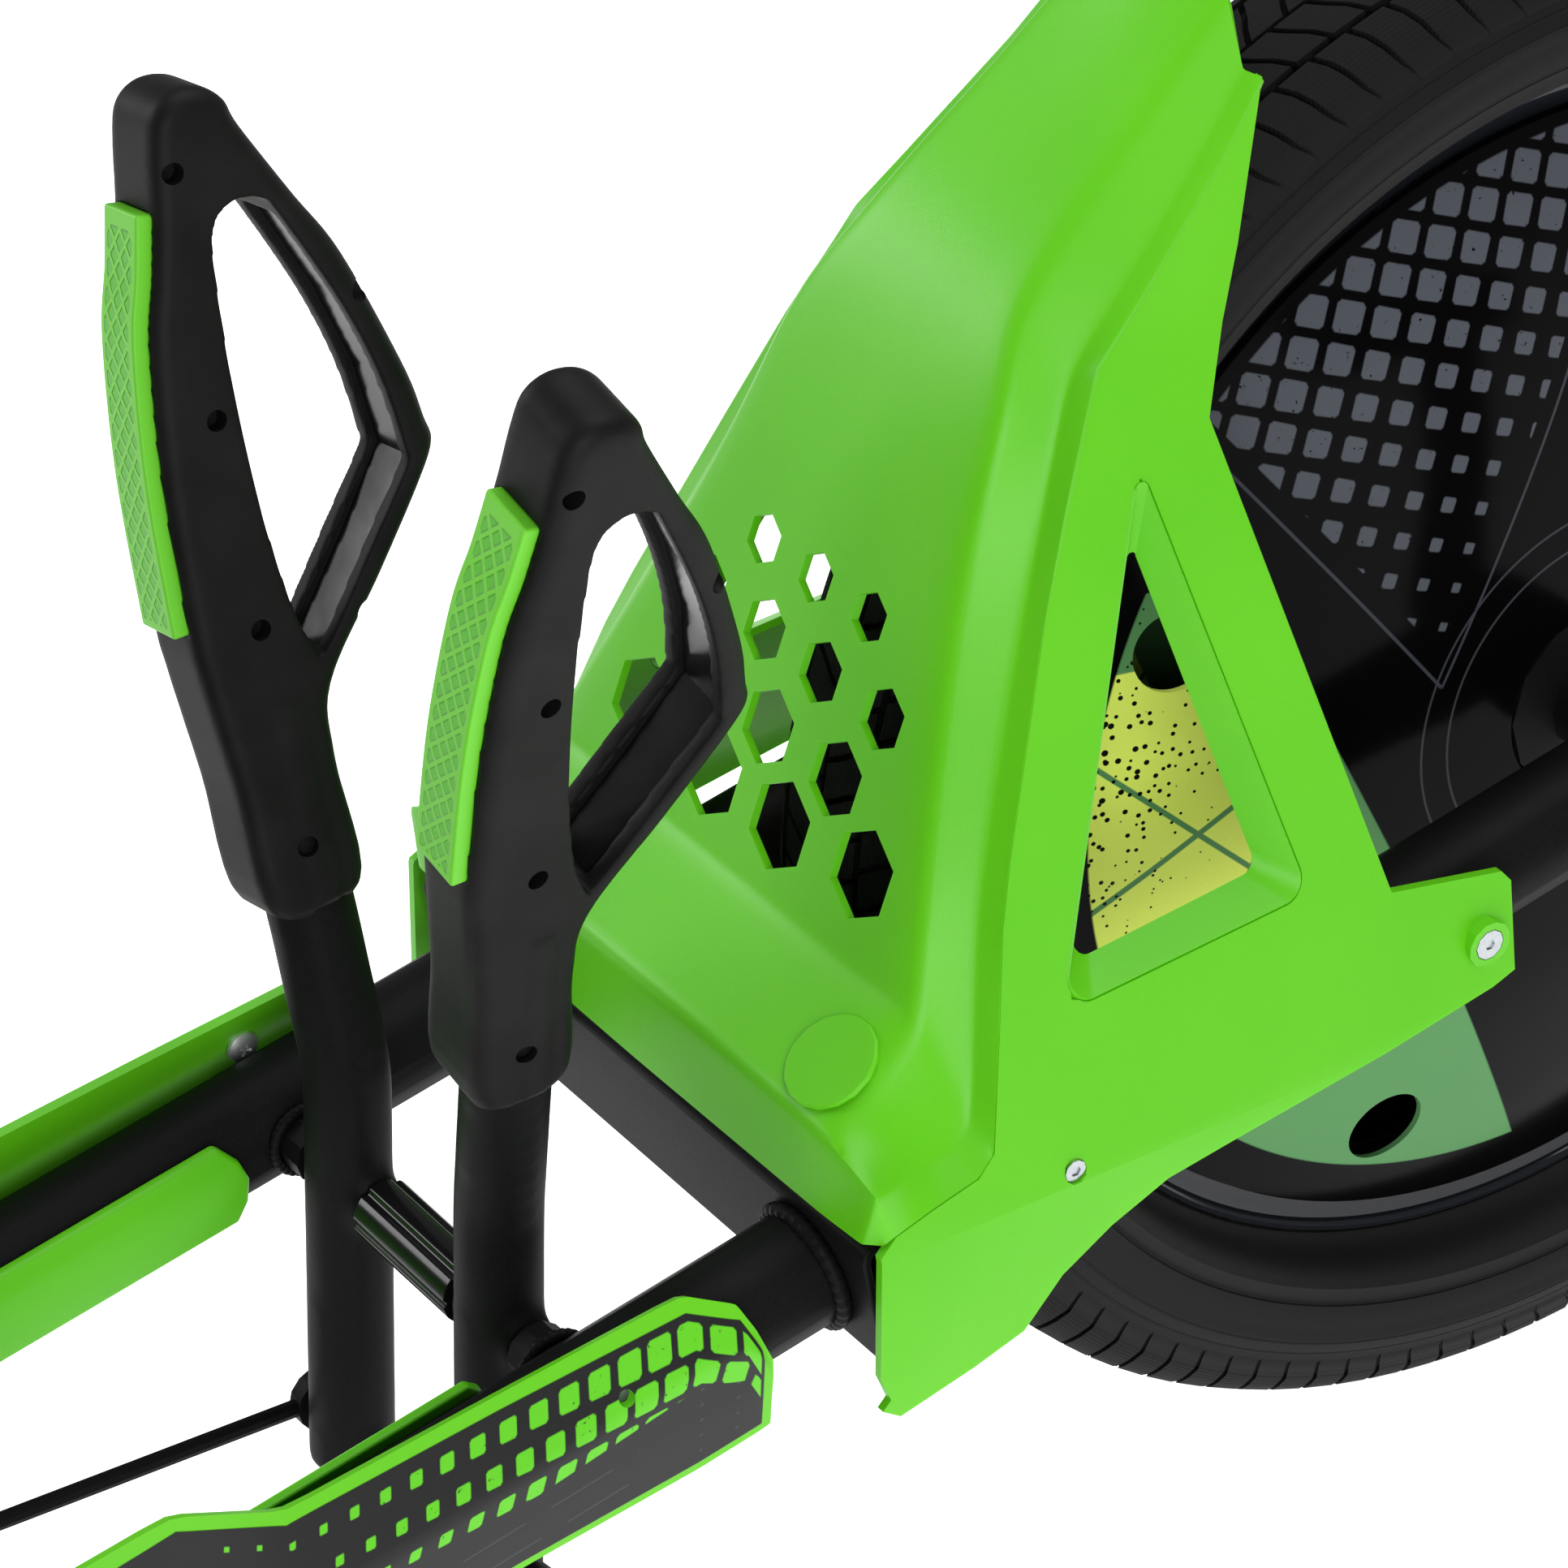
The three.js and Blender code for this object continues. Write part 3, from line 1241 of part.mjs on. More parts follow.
function seatBar(x) {
  const half = railOffset + seatBarSpare;
  const outline = roundedRectangle(x - seatBarWidth / 2, x + seatBarWidth / 2, -half, half, seatBarRound, 2);
  return flatPlate(outline, seatBarTop - seatBarThickness, seatBarTop + trackWall / 2);
}

// A section across the trike, of y and z, extruded forwards from a place
function lengthwise(section, rear, length, hole = null) {
  const shape = new THREE.Shape(section.map(([y, z]) => new THREE.Vector2(y, z)));
  if (hole) shape.holes.push(new THREE.Path(hole.map(([y, z]) => new THREE.Vector2(y, z))));
  const body = new THREE.ExtrudeGeometry(shape, { depth: length, bevelEnabled: false });
  return faceOut(body.rotateX(Math.PI / 2).rotateZ(Math.PI / 2).translate(rear, 0, 0));
}

function seatTrack() {
  const [half, top] = [trackSize / 2, trackBase + trackSize];
  const outside = roundedRectangle(-half, half, trackBase, top, trackWall * 1.6, 2);
  const inner = half - trackWall;
  const inside = roundedRectangle(-inner, inner, trackBase + trackWall, top - trackWall, trackWall * 0.8, 2);
  const tube = lengthwise(outside, trackRearX, trackFrontX - trackRearX, inside);
  return joined(tube, seatBar(frontSeatBarX), seatBar(rearSeatBarX));
}

function seatSlider() {
  const inside = trackSize / 2 + runningGap;
  const outside = inside + sliderWall;
  const low = trackBase + trackWall;
  const roof = trackBase + trackSize + runningGap;
  return lengthwise([[-outside, low], [-inside, low], [-inside, roof], [inside, roof], [inside, low],
    [outside, low], [outside, roof + sliderWall], [-outside, roof + sliderWall]], sliderRearX, sliderLength);
}

// Seat sections from the front lip back along the pan and up the back: the middle's place
// and height, the half width, and how far the side stands above the middle
const seatSectionShares = [
  { x: 1.0, z: 0.03, half: 0.8, side: 0.03 },
  { x: 0.95, z: 0.05, half: 0.86, side: 0.07 },
  { x: 0.68, z: 0.01, half: 0.91, side: 0.17 },
  { x: 0.3, z: 0.0, half: 0.93, side: 0.26 },
  { x: 0.18, z: 0.1, half: 0.96, side: 0.32 },
  { x: 0.11, z: 0.42, half: 1.0, side: 0.2 },
  { x: 0.06, z: 0.68, half: 0.96, side: 0.1 },
  { x: 0.02, z: 0.9, half: 0.8, side: 0.03 },
  { x: 0.0, z: 1.0, half: 0.6, side: 0.0 }
];
const seatColumnShares = [-1, -0.9, -0.65, -0.3, 0.3, 0.65, 0.9, 1];

function seatShell() {
  const base = trackBase + trackSize + runningGap + sliderWall + fitGap;
  const outer = seatSectionShares.map((row) => seatColumnShares.map((across) => {
    const rise = Math.max(Math.abs(across) - 0.4, 0) / 0.6;
    const lift = rise ** 1.6 * row.side;
    const forward = row.z > 0.1 ? rise ** 1.6 * 0.1 : 0;
    return at(
      seatRearX + (row.x + forward) * seatDepth,
      across * row.half * seatWidth / 2,
      base + (row.z + (row.z > 0.1 ? 0 : lift)) * seatHeight
    );
  }));
  const normals = gridNormals(outer);
  const middle = Math.floor(seatColumnShares.length / 2);
  const sign = normals[3][middle].z > 0 ? 1 : -1;
  const inner = outer.map((row, i) => row.map((p, j) => (
    p.clone().addScaledVector(normals[i][j], sign * seatWall))));
  return gridBody(outer, inner);
}

function seatKnob() {
  const y = trackSize / 2 + runningGap + sliderWall + fitGap;
  const z = trackBase + trackSize / 2;
  const x = sliderRearX + sliderLength / 2;
  return acrossRod(x, z, y, y + knobDepth, knobRadius, 12);
}

addPair('rail', rail(), finishes.satinBlack);
add('cross_box', crossBox(), finishes.satinBlack);
addPair('fork_tube', forkTube(), finishes.satinBlack);
addPair('axle_housing', axleHousing(), finishes.satinBlack);
addPair('axle_bearing', bearing(), finishes.zinc);
add('pivot_axle', pivotAxle(), finishes.zinc);
add('pivot_spacer', pivotSpacer(), finishes.glossBlack);
addPair('lever_tube', leverTube(), finishes.satinBlack);
addPair('grip', grip(), finishes.matteRubber);
addPair('grip_insert', gripInsert(), finishes.greenPlastic);
addPair('grip_loop', gripLoop(), finishes.glossBlack);
const capSeat = deckDisc(capRadius + fitGap, -capRecess, overrun, 16);
add('centre_cowl', cutAway(centreCowl(), ...cowlHoles(), capSeat, mirrored(capSeat)), finishes.greenPlastic);
addPair('cowl_cap', cowlCap(), finishes.greenPlastic);
addPair('side_panel', sidePanel(), finishes.greenPlastic);
addPair('side_screw', sideScrew(sideScrews[0]), finishes.zinc);
addPair('arm_screw', sideScrew(sideScrews[1]), finishes.zinc);
addPair('outer_cover', outerCover(), finishes.greenPlastic);
addPair('cover_panel', coverPanel(), finishes.satinBlack);
addPair('inner_cover', innerCover(), finishes.greenPlastic);
add('front_tyre', frontTyre(), finishes.tyreRubber);
add('front_rim', frontRim(), finishes.glossBlack);
addPair('wheel_cover', wheelCover(), finishes.glossBlack);
add('front_hub', frontHub(), finishes.satinBlack);
add('spindle', spindle(), finishes.zinc);
add('right_crank', mirrored(crank(1)), finishes.satinBlack);
add('left_crank', crank(-1), finishes.satinBlack);
add('right_pedal', mirrored(pedal(1)), finishes.matteRubber);
add('left_pedal', pedal(-1), finishes.matteRubber);
add('mount_plate', mountPlate(), finishes.satinBlack);
add('truck_plate', truckPlate(), finishes.satinBlack);
add('kingpin', kingpin(), finishes.zinc);
add('axle_tube', axleTube(), finishes.satinBlack);
add('rear_axle', rearAxle(), finishes.zinc);
addPair('rear_tyre', rearTyre(), finishes.tyreRubber);
addPair('rear_hub', rearHub(), finishes.satinBlack);
addPair('steering_rod', steeringRod(), finishes.satinBlack);
add('seat_track', seatTrack(), finishes.satinBlack);
add('seat_slider', seatSlider(), finishes.satinBlack);
add('seat_shell', seatShell(), finishes.seatPlastic);
add('seat_knob', seatKnob(), finishes.matteRubber);

const rearmost = rearAxleX - rearTyreRadius;
trike.position.set(-(rearmost + tyreRadius) / 2, 0, tyreRadius);
export default trike;
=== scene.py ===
# %% [markdown]
# # Drift trike
# The real object is a pedal drift trike: a large front wheel under a moulded green cowl,
# two upright steering levers, and two black frame tubes that run back to a swivelling truck.
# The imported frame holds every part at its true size, and this lesson dresses it for the picture.
# Parts whose shape is right get a copy with rounded edges, because real plastic and steel
# have no knife edges. Soft, curved parts, such as grips and tyres, are modelled anew.

import json
import math

import bpy
from mathutils import Matrix, Vector


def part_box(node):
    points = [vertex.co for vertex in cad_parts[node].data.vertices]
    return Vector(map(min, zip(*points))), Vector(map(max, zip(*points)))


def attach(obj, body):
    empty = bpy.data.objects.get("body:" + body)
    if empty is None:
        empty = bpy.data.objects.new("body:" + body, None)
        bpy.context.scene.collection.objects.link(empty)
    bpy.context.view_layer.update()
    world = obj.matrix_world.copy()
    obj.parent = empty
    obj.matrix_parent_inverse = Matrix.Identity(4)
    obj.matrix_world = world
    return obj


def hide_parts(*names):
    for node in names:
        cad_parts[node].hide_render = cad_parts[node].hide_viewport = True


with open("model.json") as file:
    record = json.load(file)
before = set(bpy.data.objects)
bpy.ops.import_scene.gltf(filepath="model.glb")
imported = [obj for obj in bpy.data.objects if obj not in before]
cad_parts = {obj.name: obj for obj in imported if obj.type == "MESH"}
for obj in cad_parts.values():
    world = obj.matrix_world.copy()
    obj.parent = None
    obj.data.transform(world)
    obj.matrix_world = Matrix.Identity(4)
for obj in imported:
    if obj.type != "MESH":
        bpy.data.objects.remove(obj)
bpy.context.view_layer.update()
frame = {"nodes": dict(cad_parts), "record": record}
body_of = {
    node: body
    for body, nodes in frame["record"]["behaviour"]["bodies"].items()
    for node in nodes
}
print("parts in the frame:", len(frame["nodes"]))

# %% [markdown]
# Lengths of the real trike are easiest to think of in millimetres, from the front axle.
# Blender works in metres, so two small helpers turn one into the other.

# %% Millimetres from the front axle
MM = 0.001
FRONT_AXLE = Vector((0.344135, 0.0, 0.277))


def place(x, y, z):
    """A place in millimetres from the front axle, in Blender's metres."""
    return FRONT_AXLE + Vector((x, y, z)) * MM


print("front axle at", tuple(round(v, 3) for v in FRONT_AXLE))

# %% [markdown]
# Every operator acts on what is selected, and a loaded frame is selected all over.
# So each step first adds a piece with nothing selected, or picks one piece alone. Modifiers
# are added and applied at once, which bakes their shape into the mesh, as the export needs.

# %% Add a piece, pick one alone, apply a modifier
def alone(piece):
    bpy.ops.object.select_all(action="DESELECT")
    piece.select_set(True)
    bpy.context.view_layer.objects.active = piece


def added(name, primitive, **settings):
    """A new piece, made by one of the operators that add a mesh."""
    bpy.ops.object.select_all(action="DESELECT")
    primitive(**settings)
    piece = bpy.context.object
    piece.name = name
    return piece


def modified(piece, kind, **settings):
    alone(piece)
    modifier = piece.modifiers.new(kind, kind)
    for name, value in settings.items():
        setattr(modifier, name, value)
    bpy.ops.object.modifier_apply(modifier=modifier.name)
    return piece


def edited(piece, *steps):
    """Runs edit mode operators on the whole mesh of one piece."""
    alone(piece)
    bpy.ops.object.mode_set(mode="EDIT")
    for step in steps:
        bpy.ops.mesh.select_all(action="SELECT")
        step()
    bpy.ops.object.mode_set(mode="OBJECT")
    return piece


def shaded(piece, degrees=38, weighted=True):
    """Smooth over soft edges, sharp over hard ones, with flat faces kept flat."""
    alone(piece)
    bpy.ops.object.shade_smooth_by_angle(angle=math.radians(degrees))
    if weighted:
        modified(piece, "WEIGHTED_NORMAL", keep_sharp=True)
    return piece


def bevelled(piece, edge, segments=2, sharp=30):
    """Rounds the edges that are sharper than an angle, by a radius in millimetres."""
    return modified(piece, "BEVEL", width=edge * MM, segments=segments, limit_method="ANGLE",
                    angle_limit=math.radians(sharp))


def outwards(piece):
    """Merges doubled corners and turns every face outwards."""
    return edited(
        piece,
        lambda: bpy.ops.mesh.remove_doubles(threshold=0.000002),
        lambda: bpy.ops.mesh.normals_make_consistent(inside=False),
    )


print("helpers ready")

# %% [markdown]
# A moulded or welded part catches the light along its edges. The quickest way there is a copy
# of the frame's own mesh: its loose triangles are merged, flat areas become single faces,
# and a bevel rounds each sharp edge by the radius that the real edge has.

# %% Copies with rounded edges
def copied(node):
    """A copy of a part's mesh, in an object of its own."""
    piece = bpy.data.objects.new(node + "_piece", frame["nodes"][node].data.copy())
    bpy.context.scene.collection.objects.link(piece)
    return piece


def merged(piece):
    """Joins the loose triangles of a copy and makes each flat area one face."""
    return edited(
        piece,
        lambda: bpy.ops.mesh.remove_doubles(threshold=0.00001),
        lambda: bpy.ops.mesh.dissolve_limited(angle_limit=math.radians(0.4)),
    )


def refined(node, edge, segments=2):
    piece = bevelled(merged(copied(node)), edge, segments)
    shaded(piece)
    return standing_for(piece, node)


def standing_for(piece, *nodes):
    """The piece stands for parts of the frame and moves with their body."""
    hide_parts(*nodes)
    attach(piece, body_of[nodes[0]])
    return piece


def both(name):
    return ["left_" + name, "right_" + name]


SIDES = ((1, "left"), (-1, "right"))


print("rounded copies ready")

# %% [markdown]
# The frame is welded from steel tube and pressed parts, the covers are moulded.
# Tubes are round already, so they only need smooth shading and a small edge at their ends.
# Plastic mouldings get about a millimetre of edge, steel parts about half of that.

# %% Tubes, box and small steel parts
steel_edges = {
    "rail": 0.5,
    "fork_tube": 0.5,
    "axle_housing": 0.8,
    "axle_bearing": 0.5,
    "side_screw": 0.35,
    "arm_screw": 0.35,
    "crank": 2.2,
    "pedal": 1.6,
    "steering_rod": 0.5,
}
for name, edge in steel_edges.items():
    for node in both(name):
        refined(node, edge)
single_edges = {
    "cross_box": 1.2,
    "pivot_axle": 0.6,
    "spindle": 0.6,
    "mount_plate": 0.8,
    "truck_plate": 0.8,
    "kingpin": 0.8,
    "axle_tube": 0.6,
    "rear_axle": 0.5,
    "seat_track": 0.6,
    "seat_slider": 0.8,
    "seat_knob": 1.4,
    "front_hub": 0.5,
}
for node, edge in single_edges.items():
    refined(node, edge)
print("steel parts:", 2 * len(steel_edges) + len(single_edges))

# %% Green mouldings
for node in both("inner_cover"):
    refined(node, 1.5, 3)
for node in both("cowl_cap"):
    refined(node, 0.9, 3)
print("small mouldings ready")

# %% [markdown]
# The centre cowl is one curved moulding. It could be carved from a block, but sections are
# easier to measure: each row of this table is a section from the middle out to the seam.
# A grid takes its corners from the table, a Solidify modifier gives it its wall, and a
# subdivision surface rounds it, with creases where the real moulding has tight folds.

# %% Sheets from a table of sections
def sheet(name, rows, creases_along, creases_across, wall, levels):
    """A grid of places in millimetres with a wall behind it, rounded between its creases."""
    across, along = len(rows[0]), len(rows)
    piece = added(name, bpy.ops.mesh.primitive_grid_add, x_subdivisions=across - 1,
                  y_subdivisions=along - 1, size=1)
    for corner, spot in zip(piece.data.vertices, [spot for row in rows for spot in row]):
        corner.co = place(*spot)
    crease = piece.data.attributes.new("crease_edge", "FLOAT", "EDGE")
    for edge in piece.data.edges:
        first, second = sorted(edge.vertices)
        if second - first == across:
            crease.data[edge.index].value = creases_along.get(first % across, 0.0)
        else:
            crease.data[edge.index].value = creases_across.get(first // across, 0.0)
    modified(piece, "SOLIDIFY", thickness=wall * MM, offset=-1, use_even_offset=True,
             edge_crease_rim=0.7, edge_crease_inner=0.7, edge_crease_outer=0.7)
    modified(piece, "SUBSURF", levels=levels, render_levels=levels)
    return piece


print("sheet helper ready")

# %% Cowl sections
# Shares of length and height in the middle, then shares of length, width and height
# at the valley, the ridge and the seam.
COWL_REAR, COWL_BASE = -348, -30
COWL_LENGTH, COWL_HALF, COWL_HEIGHT, COWL_WALL = 200, 131, 322, 3
cowl_sections = [
    ((0.0075, 0.0047), (0.01, 0.7863, 0.0062), (0.011, 0.9466, 0.0099), (0.0275, 1, 0.0168)),
    ((0.0175, 0.0994), (0.015, 0.7756, 0.0957), (0.015, 0.9962, 0.0736), (0.05, 0.9992, 0.0217)),
    ((0.1, 0.1357), (0.1, 0.771, 0.1351), (0.1275, 0.9107, 0.0575), (0.1205, 0.9908, 0.0317)),
    ((0.185, 0.1739), (0.185, 0.7634, 0.1755), (0.193, 0.9046, 0.0646), (0.209, 0.9824, 0.0425)),
    ((0.1975, 0.1925), (0.1965, 0.7443, 0.1941), (0.239, 0.8908, 0.0829), (0.2425, 0.9702, 0.059)),
    ((0.2175, 0.2283), (0.218, 0.7084, 0.2298), (0.28, 0.8092, 0.1894), (0.291, 0.8855, 0.1708)),
    ((0.2275, 0.2453), (0.228, 0.6916, 0.2469), (0.3045, 0.7656, 0.2469), (0.3255, 0.8206, 0.255)),
    ((0.2725, 0.3199), (0.27, 0.6221, 0.3137), (0.342, 0.7137, 0.3152), (0.3605, 0.7748, 0.3158)),
    ((0.381, 0.4969), (0.385, 0.4695, 0.4953), (0.469, 0.5763, 0.4969), (0.4815, 0.6359, 0.4978)),
    ((0.455, 0.6056), (0.457, 0.4221, 0.6056), (0.5485, 0.4985, 0.6012), (0.5625, 0.5573, 0.6087)),
    ((0.5135, 0.6832), (0.515, 0.3969, 0.6832), (0.6075, 0.4389, 0.6801), (0.625, 0.5, 0.6832)),
    ((0.575, 0.7547), (0.58, 0.3053, 0.7531), (0.637, 0.413, 0.7137), (0.655, 0.4733, 0.7205)),
    ((0.67, 0.8168), (0.67, 0.2748, 0.8137), (0.725, 0.4046, 0.7702), (0.74, 0.4504, 0.7671)),
    ((0.83, 0.9006), (0.83, 0.2443, 0.8944), (0.895, 0.3511, 0.8696), (0.91, 0.3969, 0.8665)),
    ((1.01, 1.0186), (1.01, 0.2214, 0.9969), (0.995, 0.3168, 0.9379), (1.01, 0.3626, 0.9348)),
]


def cowl_spot(along, across, up):
    return (COWL_REAR + along * COWL_LENGTH, across * COWL_HALF, COWL_BASE + up * COWL_HEIGHT)


cowl_rows = []
for middle, *half in cowl_sections:
    near = [cowl_spot(along, -across, up) for along, across, up in reversed(half)]
    far = [cowl_spot(*spot) for spot in half]
    cowl_rows.append([*near, cowl_spot(middle[0], 0, middle[1]), *far][::-1])
cowl = sheet(
    "centre_cowl_piece", cowl_rows,
    {0: 1.0, 1: 0.62, 2: 0.5, 4: 0.5, 5: 0.62, 6: 1.0},
    {0: 1.0, 1: 0.6, 3: 0.25, 4: 0.25, 14: 1.0},
    COWL_WALL, 3,
)
print("cowl faces:", len(cowl.data.polygons))

# %% [markdown]
# Many outlines here are smooth curves through a few measured points. A helper runs
# a curve through such points, so that the points stay few and the edge has no corners.

# %% Curves through points
def splined(points, per, closed=True):
    """Points on a smooth curve through the given ones, so many for each stretch."""
    count = len(points)
    stretches = count if closed else count - 1
    found = []
    for i in range(stretches):
        a, b, c, d = (
            points[(i + k) % count] if closed else points[min(max(i + k, 0), count - 1)]
            for k in (-1, 0, 1, 2)
        )
        for step in range(per):
            t = step / per
            found.append(
                tuple(
                    0.5
                    * (
                        2 * q
                        + (r - p) * t
                        + (2 * p - 5 * q + 4 * r - s) * t * t
                        + (3 * q - p - 3 * r + s) * t**3
                    )
                    for p, q, r, s in zip(a, b, c, d)
                )
            )
    if not closed:
        found.append(tuple(points[-1]))
    return found


print("points on a test curve:", len(splined([(0, 0), (1, 0), (1, 1)], 4)))

# %% [markdown]
# A slab with a drawn outline is the start of the grips and their inserts. A circle with
# as many corners as the outline is added, its corners are moved onto the outline,
# it is filled with a face, and that face is extruded across.

# %% Slabs with a drawn outline
def slab(name, outline, low, high):
    """The outline's two values become X and Z, and the slab reaches from low to high in Y."""
    piece = added(name, bpy.ops.mesh.primitive_circle_add, vertices=len(outline), radius=0.1,
                  fill_type="NGON")
    for corner, (x, z) in zip(piece.data.vertices, outline):
        corner.co = Vector((x, low, z)) * MM
    edited(
        piece,
        lambda: bpy.ops.mesh.extrude_region_move(
            TRANSFORM_OT_translate={"value": (0, (high - low) * MM, 0)}
        ),
        lambda: bpy.ops.mesh.normals_make_consistent(inside=False),
    )
    return piece


def cut(piece, tool, operation="DIFFERENCE"):
    """Cuts a tool out of a piece, or joins it on, and removes the tool."""
    modified(piece, "BOOLEAN", operation=operation, object=tool, solver="EXACT")
    bpy.data.objects.remove(tool, do_unlink=True)
    return piece


def placed(piece, matrix):
    """Moves the mesh itself, so the object stays at the origin."""
    piece.matrix_world = matrix
    alone(piece)
    bpy.ops.object.transform_apply(location=True, rotation=True, scale=True)
    return piece


print("slab helper ready")

# %% Round bars
def rod(name, radius, start, end, sides=32):
    """A round bar between two places in millimetres of the piece's own space."""
    a, b = Vector(start) * MM, Vector(end) * MM
    piece = added(name, bpy.ops.mesh.primitive_cylinder_add, vertices=sides, radius=radius * MM,
                  depth=(b - a).length)
    return placed(
        piece,
        Matrix.Translation((a + b) / 2) @ (b - a).to_track_quat("Z", "Y").to_matrix().to_4x4(),
    )


print("bar helper ready")

# %% [markdown]
# The cowl's face is perforated: staggered rows of hexagons that grow downwards. Each
# hexagon is a slab that leans with the face, and a Boolean cuts it out of the cowl.

# %% Hexagon holes in the cowl
FACE_LEAN = 0.36
hole_rows = [
    (0.4645, 0.0554, (0, 0.107)),
    (0.3929, 0.0687, (0.0573, 0.181)),
    (0.3183, 0.084, (0, 0.1374)),
    (0.2469, 0.0992, (0.0706,)),
    (0.2595, 0.0992, (0.229,)),
]


def face_x(z):
    """How far forward the face's middle line is at a height."""
    line = [cowl_spot(middle[0], 0, middle[1]) for middle, *_ in cowl_sections]
    for low, high in zip(line, line[1:]):
        if high[2] > z:
            return low[0] + (z - low[2]) / (high[2] - low[2]) * (high[0] - low[0])
    return line[-1][0]


HEXAGON = [(i + 0.5) * math.pi / 3 for i in range(6)]
lean = Matrix.Rotation(FACE_LEAN, 4, "Y") @ Matrix.Rotation(math.pi / 2, 4, "Z")
holes = []
for up, wide, across in hole_rows:
    z = COWL_BASE + up * COWL_HEIGHT
    radius = wide * 2 * COWL_HALF / math.sqrt(3)
    outline = [(radius * math.cos(angle), radius * math.sin(angle)) for angle in HEXAGON]
    for spot in sorted({share * side for share in across for side in (-1, 1)}):
        hole = slab("hexagon", outline, -30, 30)
        middle = place(face_x(z), spot * 2 * COWL_HALF, z)
        holes.append(placed(hole, Matrix.Translation(middle) @ lean))
for hole in holes:
    cut(cowl, hole)
bevelled(cowl, 0.7, 2, 55)
shaded(cowl, 40)
standing_for(cowl, "centre_cowl")
print("hexagon holes:", len(holes))

# %% [markdown]
# Each side panel has a window with a deep moulded surround. The copy of the panel is cut
# along the surround's outer line, and a funnel is joined in: a ring of points on the
# panel's face, extruded and moved inwards to the opening, with a wall of its own.

# %% Side panel with its window surround
PANEL_LENGTH, PANEL_HALF, PANEL_SLOPE = 272, 133, 72 / 232
SURROUND_DEPTH, SURROUND_WALL, SURROUND_SINK = 10, 2.4, 0.6
# A depth of one millimetre shifts the opening by these in the picture
SHIFT_AHEAD, SHIFT_DOWN, SHIFT_REAR = 0.69, 0.79, 2.5
window = [(0.4945, 0.5733), (0.3154, 0.2043), (0.5915, 0.223)]
surround = [(0.5184, 0.6289), (0.2956, 0.1581), (0.6489, 0.1764)]


def side_spot(along, up):
    return (COWL_REAR + along * PANEL_LENGTH, COWL_BASE + up * COWL_HEIGHT)


def panel_face(z):
    """How far out the side panel's face stands at a height."""
    return PANEL_HALF - (z - COWL_BASE) * PANEL_SLOPE


def rounded_corners(points, radii, steps):
    """A closed outline whose corners are arcs, so many points each."""
    outline = []
    for i, (corner, radius) in enumerate(zip(points, radii)):
        corner = Vector(corner)
        ways = [(Vector(points[k % len(points)]) - corner).normalized() for k in (i - 1, i + 1)]
        half = ways[0].angle(ways[1]) / 2
        start = corner + ways[0] * radius / math.tan(half)
        end = corner + ways[1] * radius / math.tan(half)
        middle = corner + (ways[0] + ways[1]).normalized() * radius / math.sin(half)
        for step in range(steps + 1):
            way = (start - middle).lerp(end - middle, step / steps).normalized()
            outline.append(tuple(middle + way * radius))
    return outline


surround_line = rounded_corners([side_spot(*spot) for spot in surround], (3.2, 8, 8), 9)
window_line = rounded_corners(
    [(x + SHIFT_AHEAD * SURROUND_DEPTH - SHIFT_REAR, z - SHIFT_DOWN * SURROUND_DEPTH)
     for x, z in (side_spot(*spot) for spot in window)], (2.6, 6, 6), 9,
)


def funnel(name, side):
    count = len(surround_line)
    ring = added(name, bpy.ops.mesh.primitive_circle_add, vertices=count, radius=0.1)
    edited(ring, lambda: bpy.ops.mesh.extrude_edges_indiv())
    for corner, (x, z) in zip(ring.data.vertices[:count], surround_line):
        corner.co = place(x, side * (panel_face(z) - SURROUND_SINK), z)
    for corner, (x, z) in zip(ring.data.vertices[count:], window_line):
        corner.co = place(x, side * (panel_face(z) - SURROUND_DEPTH), z)
    outwards(ring)
    return modified(ring, "SOLIDIFY", thickness=SURROUND_WALL * MM, offset=0)


for side, name in SIDES:
    panel = merged(copied(name + "_side_panel"))
    tool = slab("surround_cut", surround_line, *sorted((side * 20, side * 160)))
    cut(panel, placed(tool, Matrix.Translation(FRONT_AXLE)))
    cut(panel, funnel("funnel", side), "UNION")
    bevelled(panel, 1.6, 4, 25)
    shaded(panel, 40)
    standing_for(panel, name + "_side_panel")
print("side panel faces:", len(panel.data.polygons))

# %% [markdown]
# The outer rail covers are thin mouldings with a folded upper edge. They come from a table
# of sections as well. The real cover has its print on its whole face, so that one piece
# stands for the frame's cover and for the panel that is let into it.

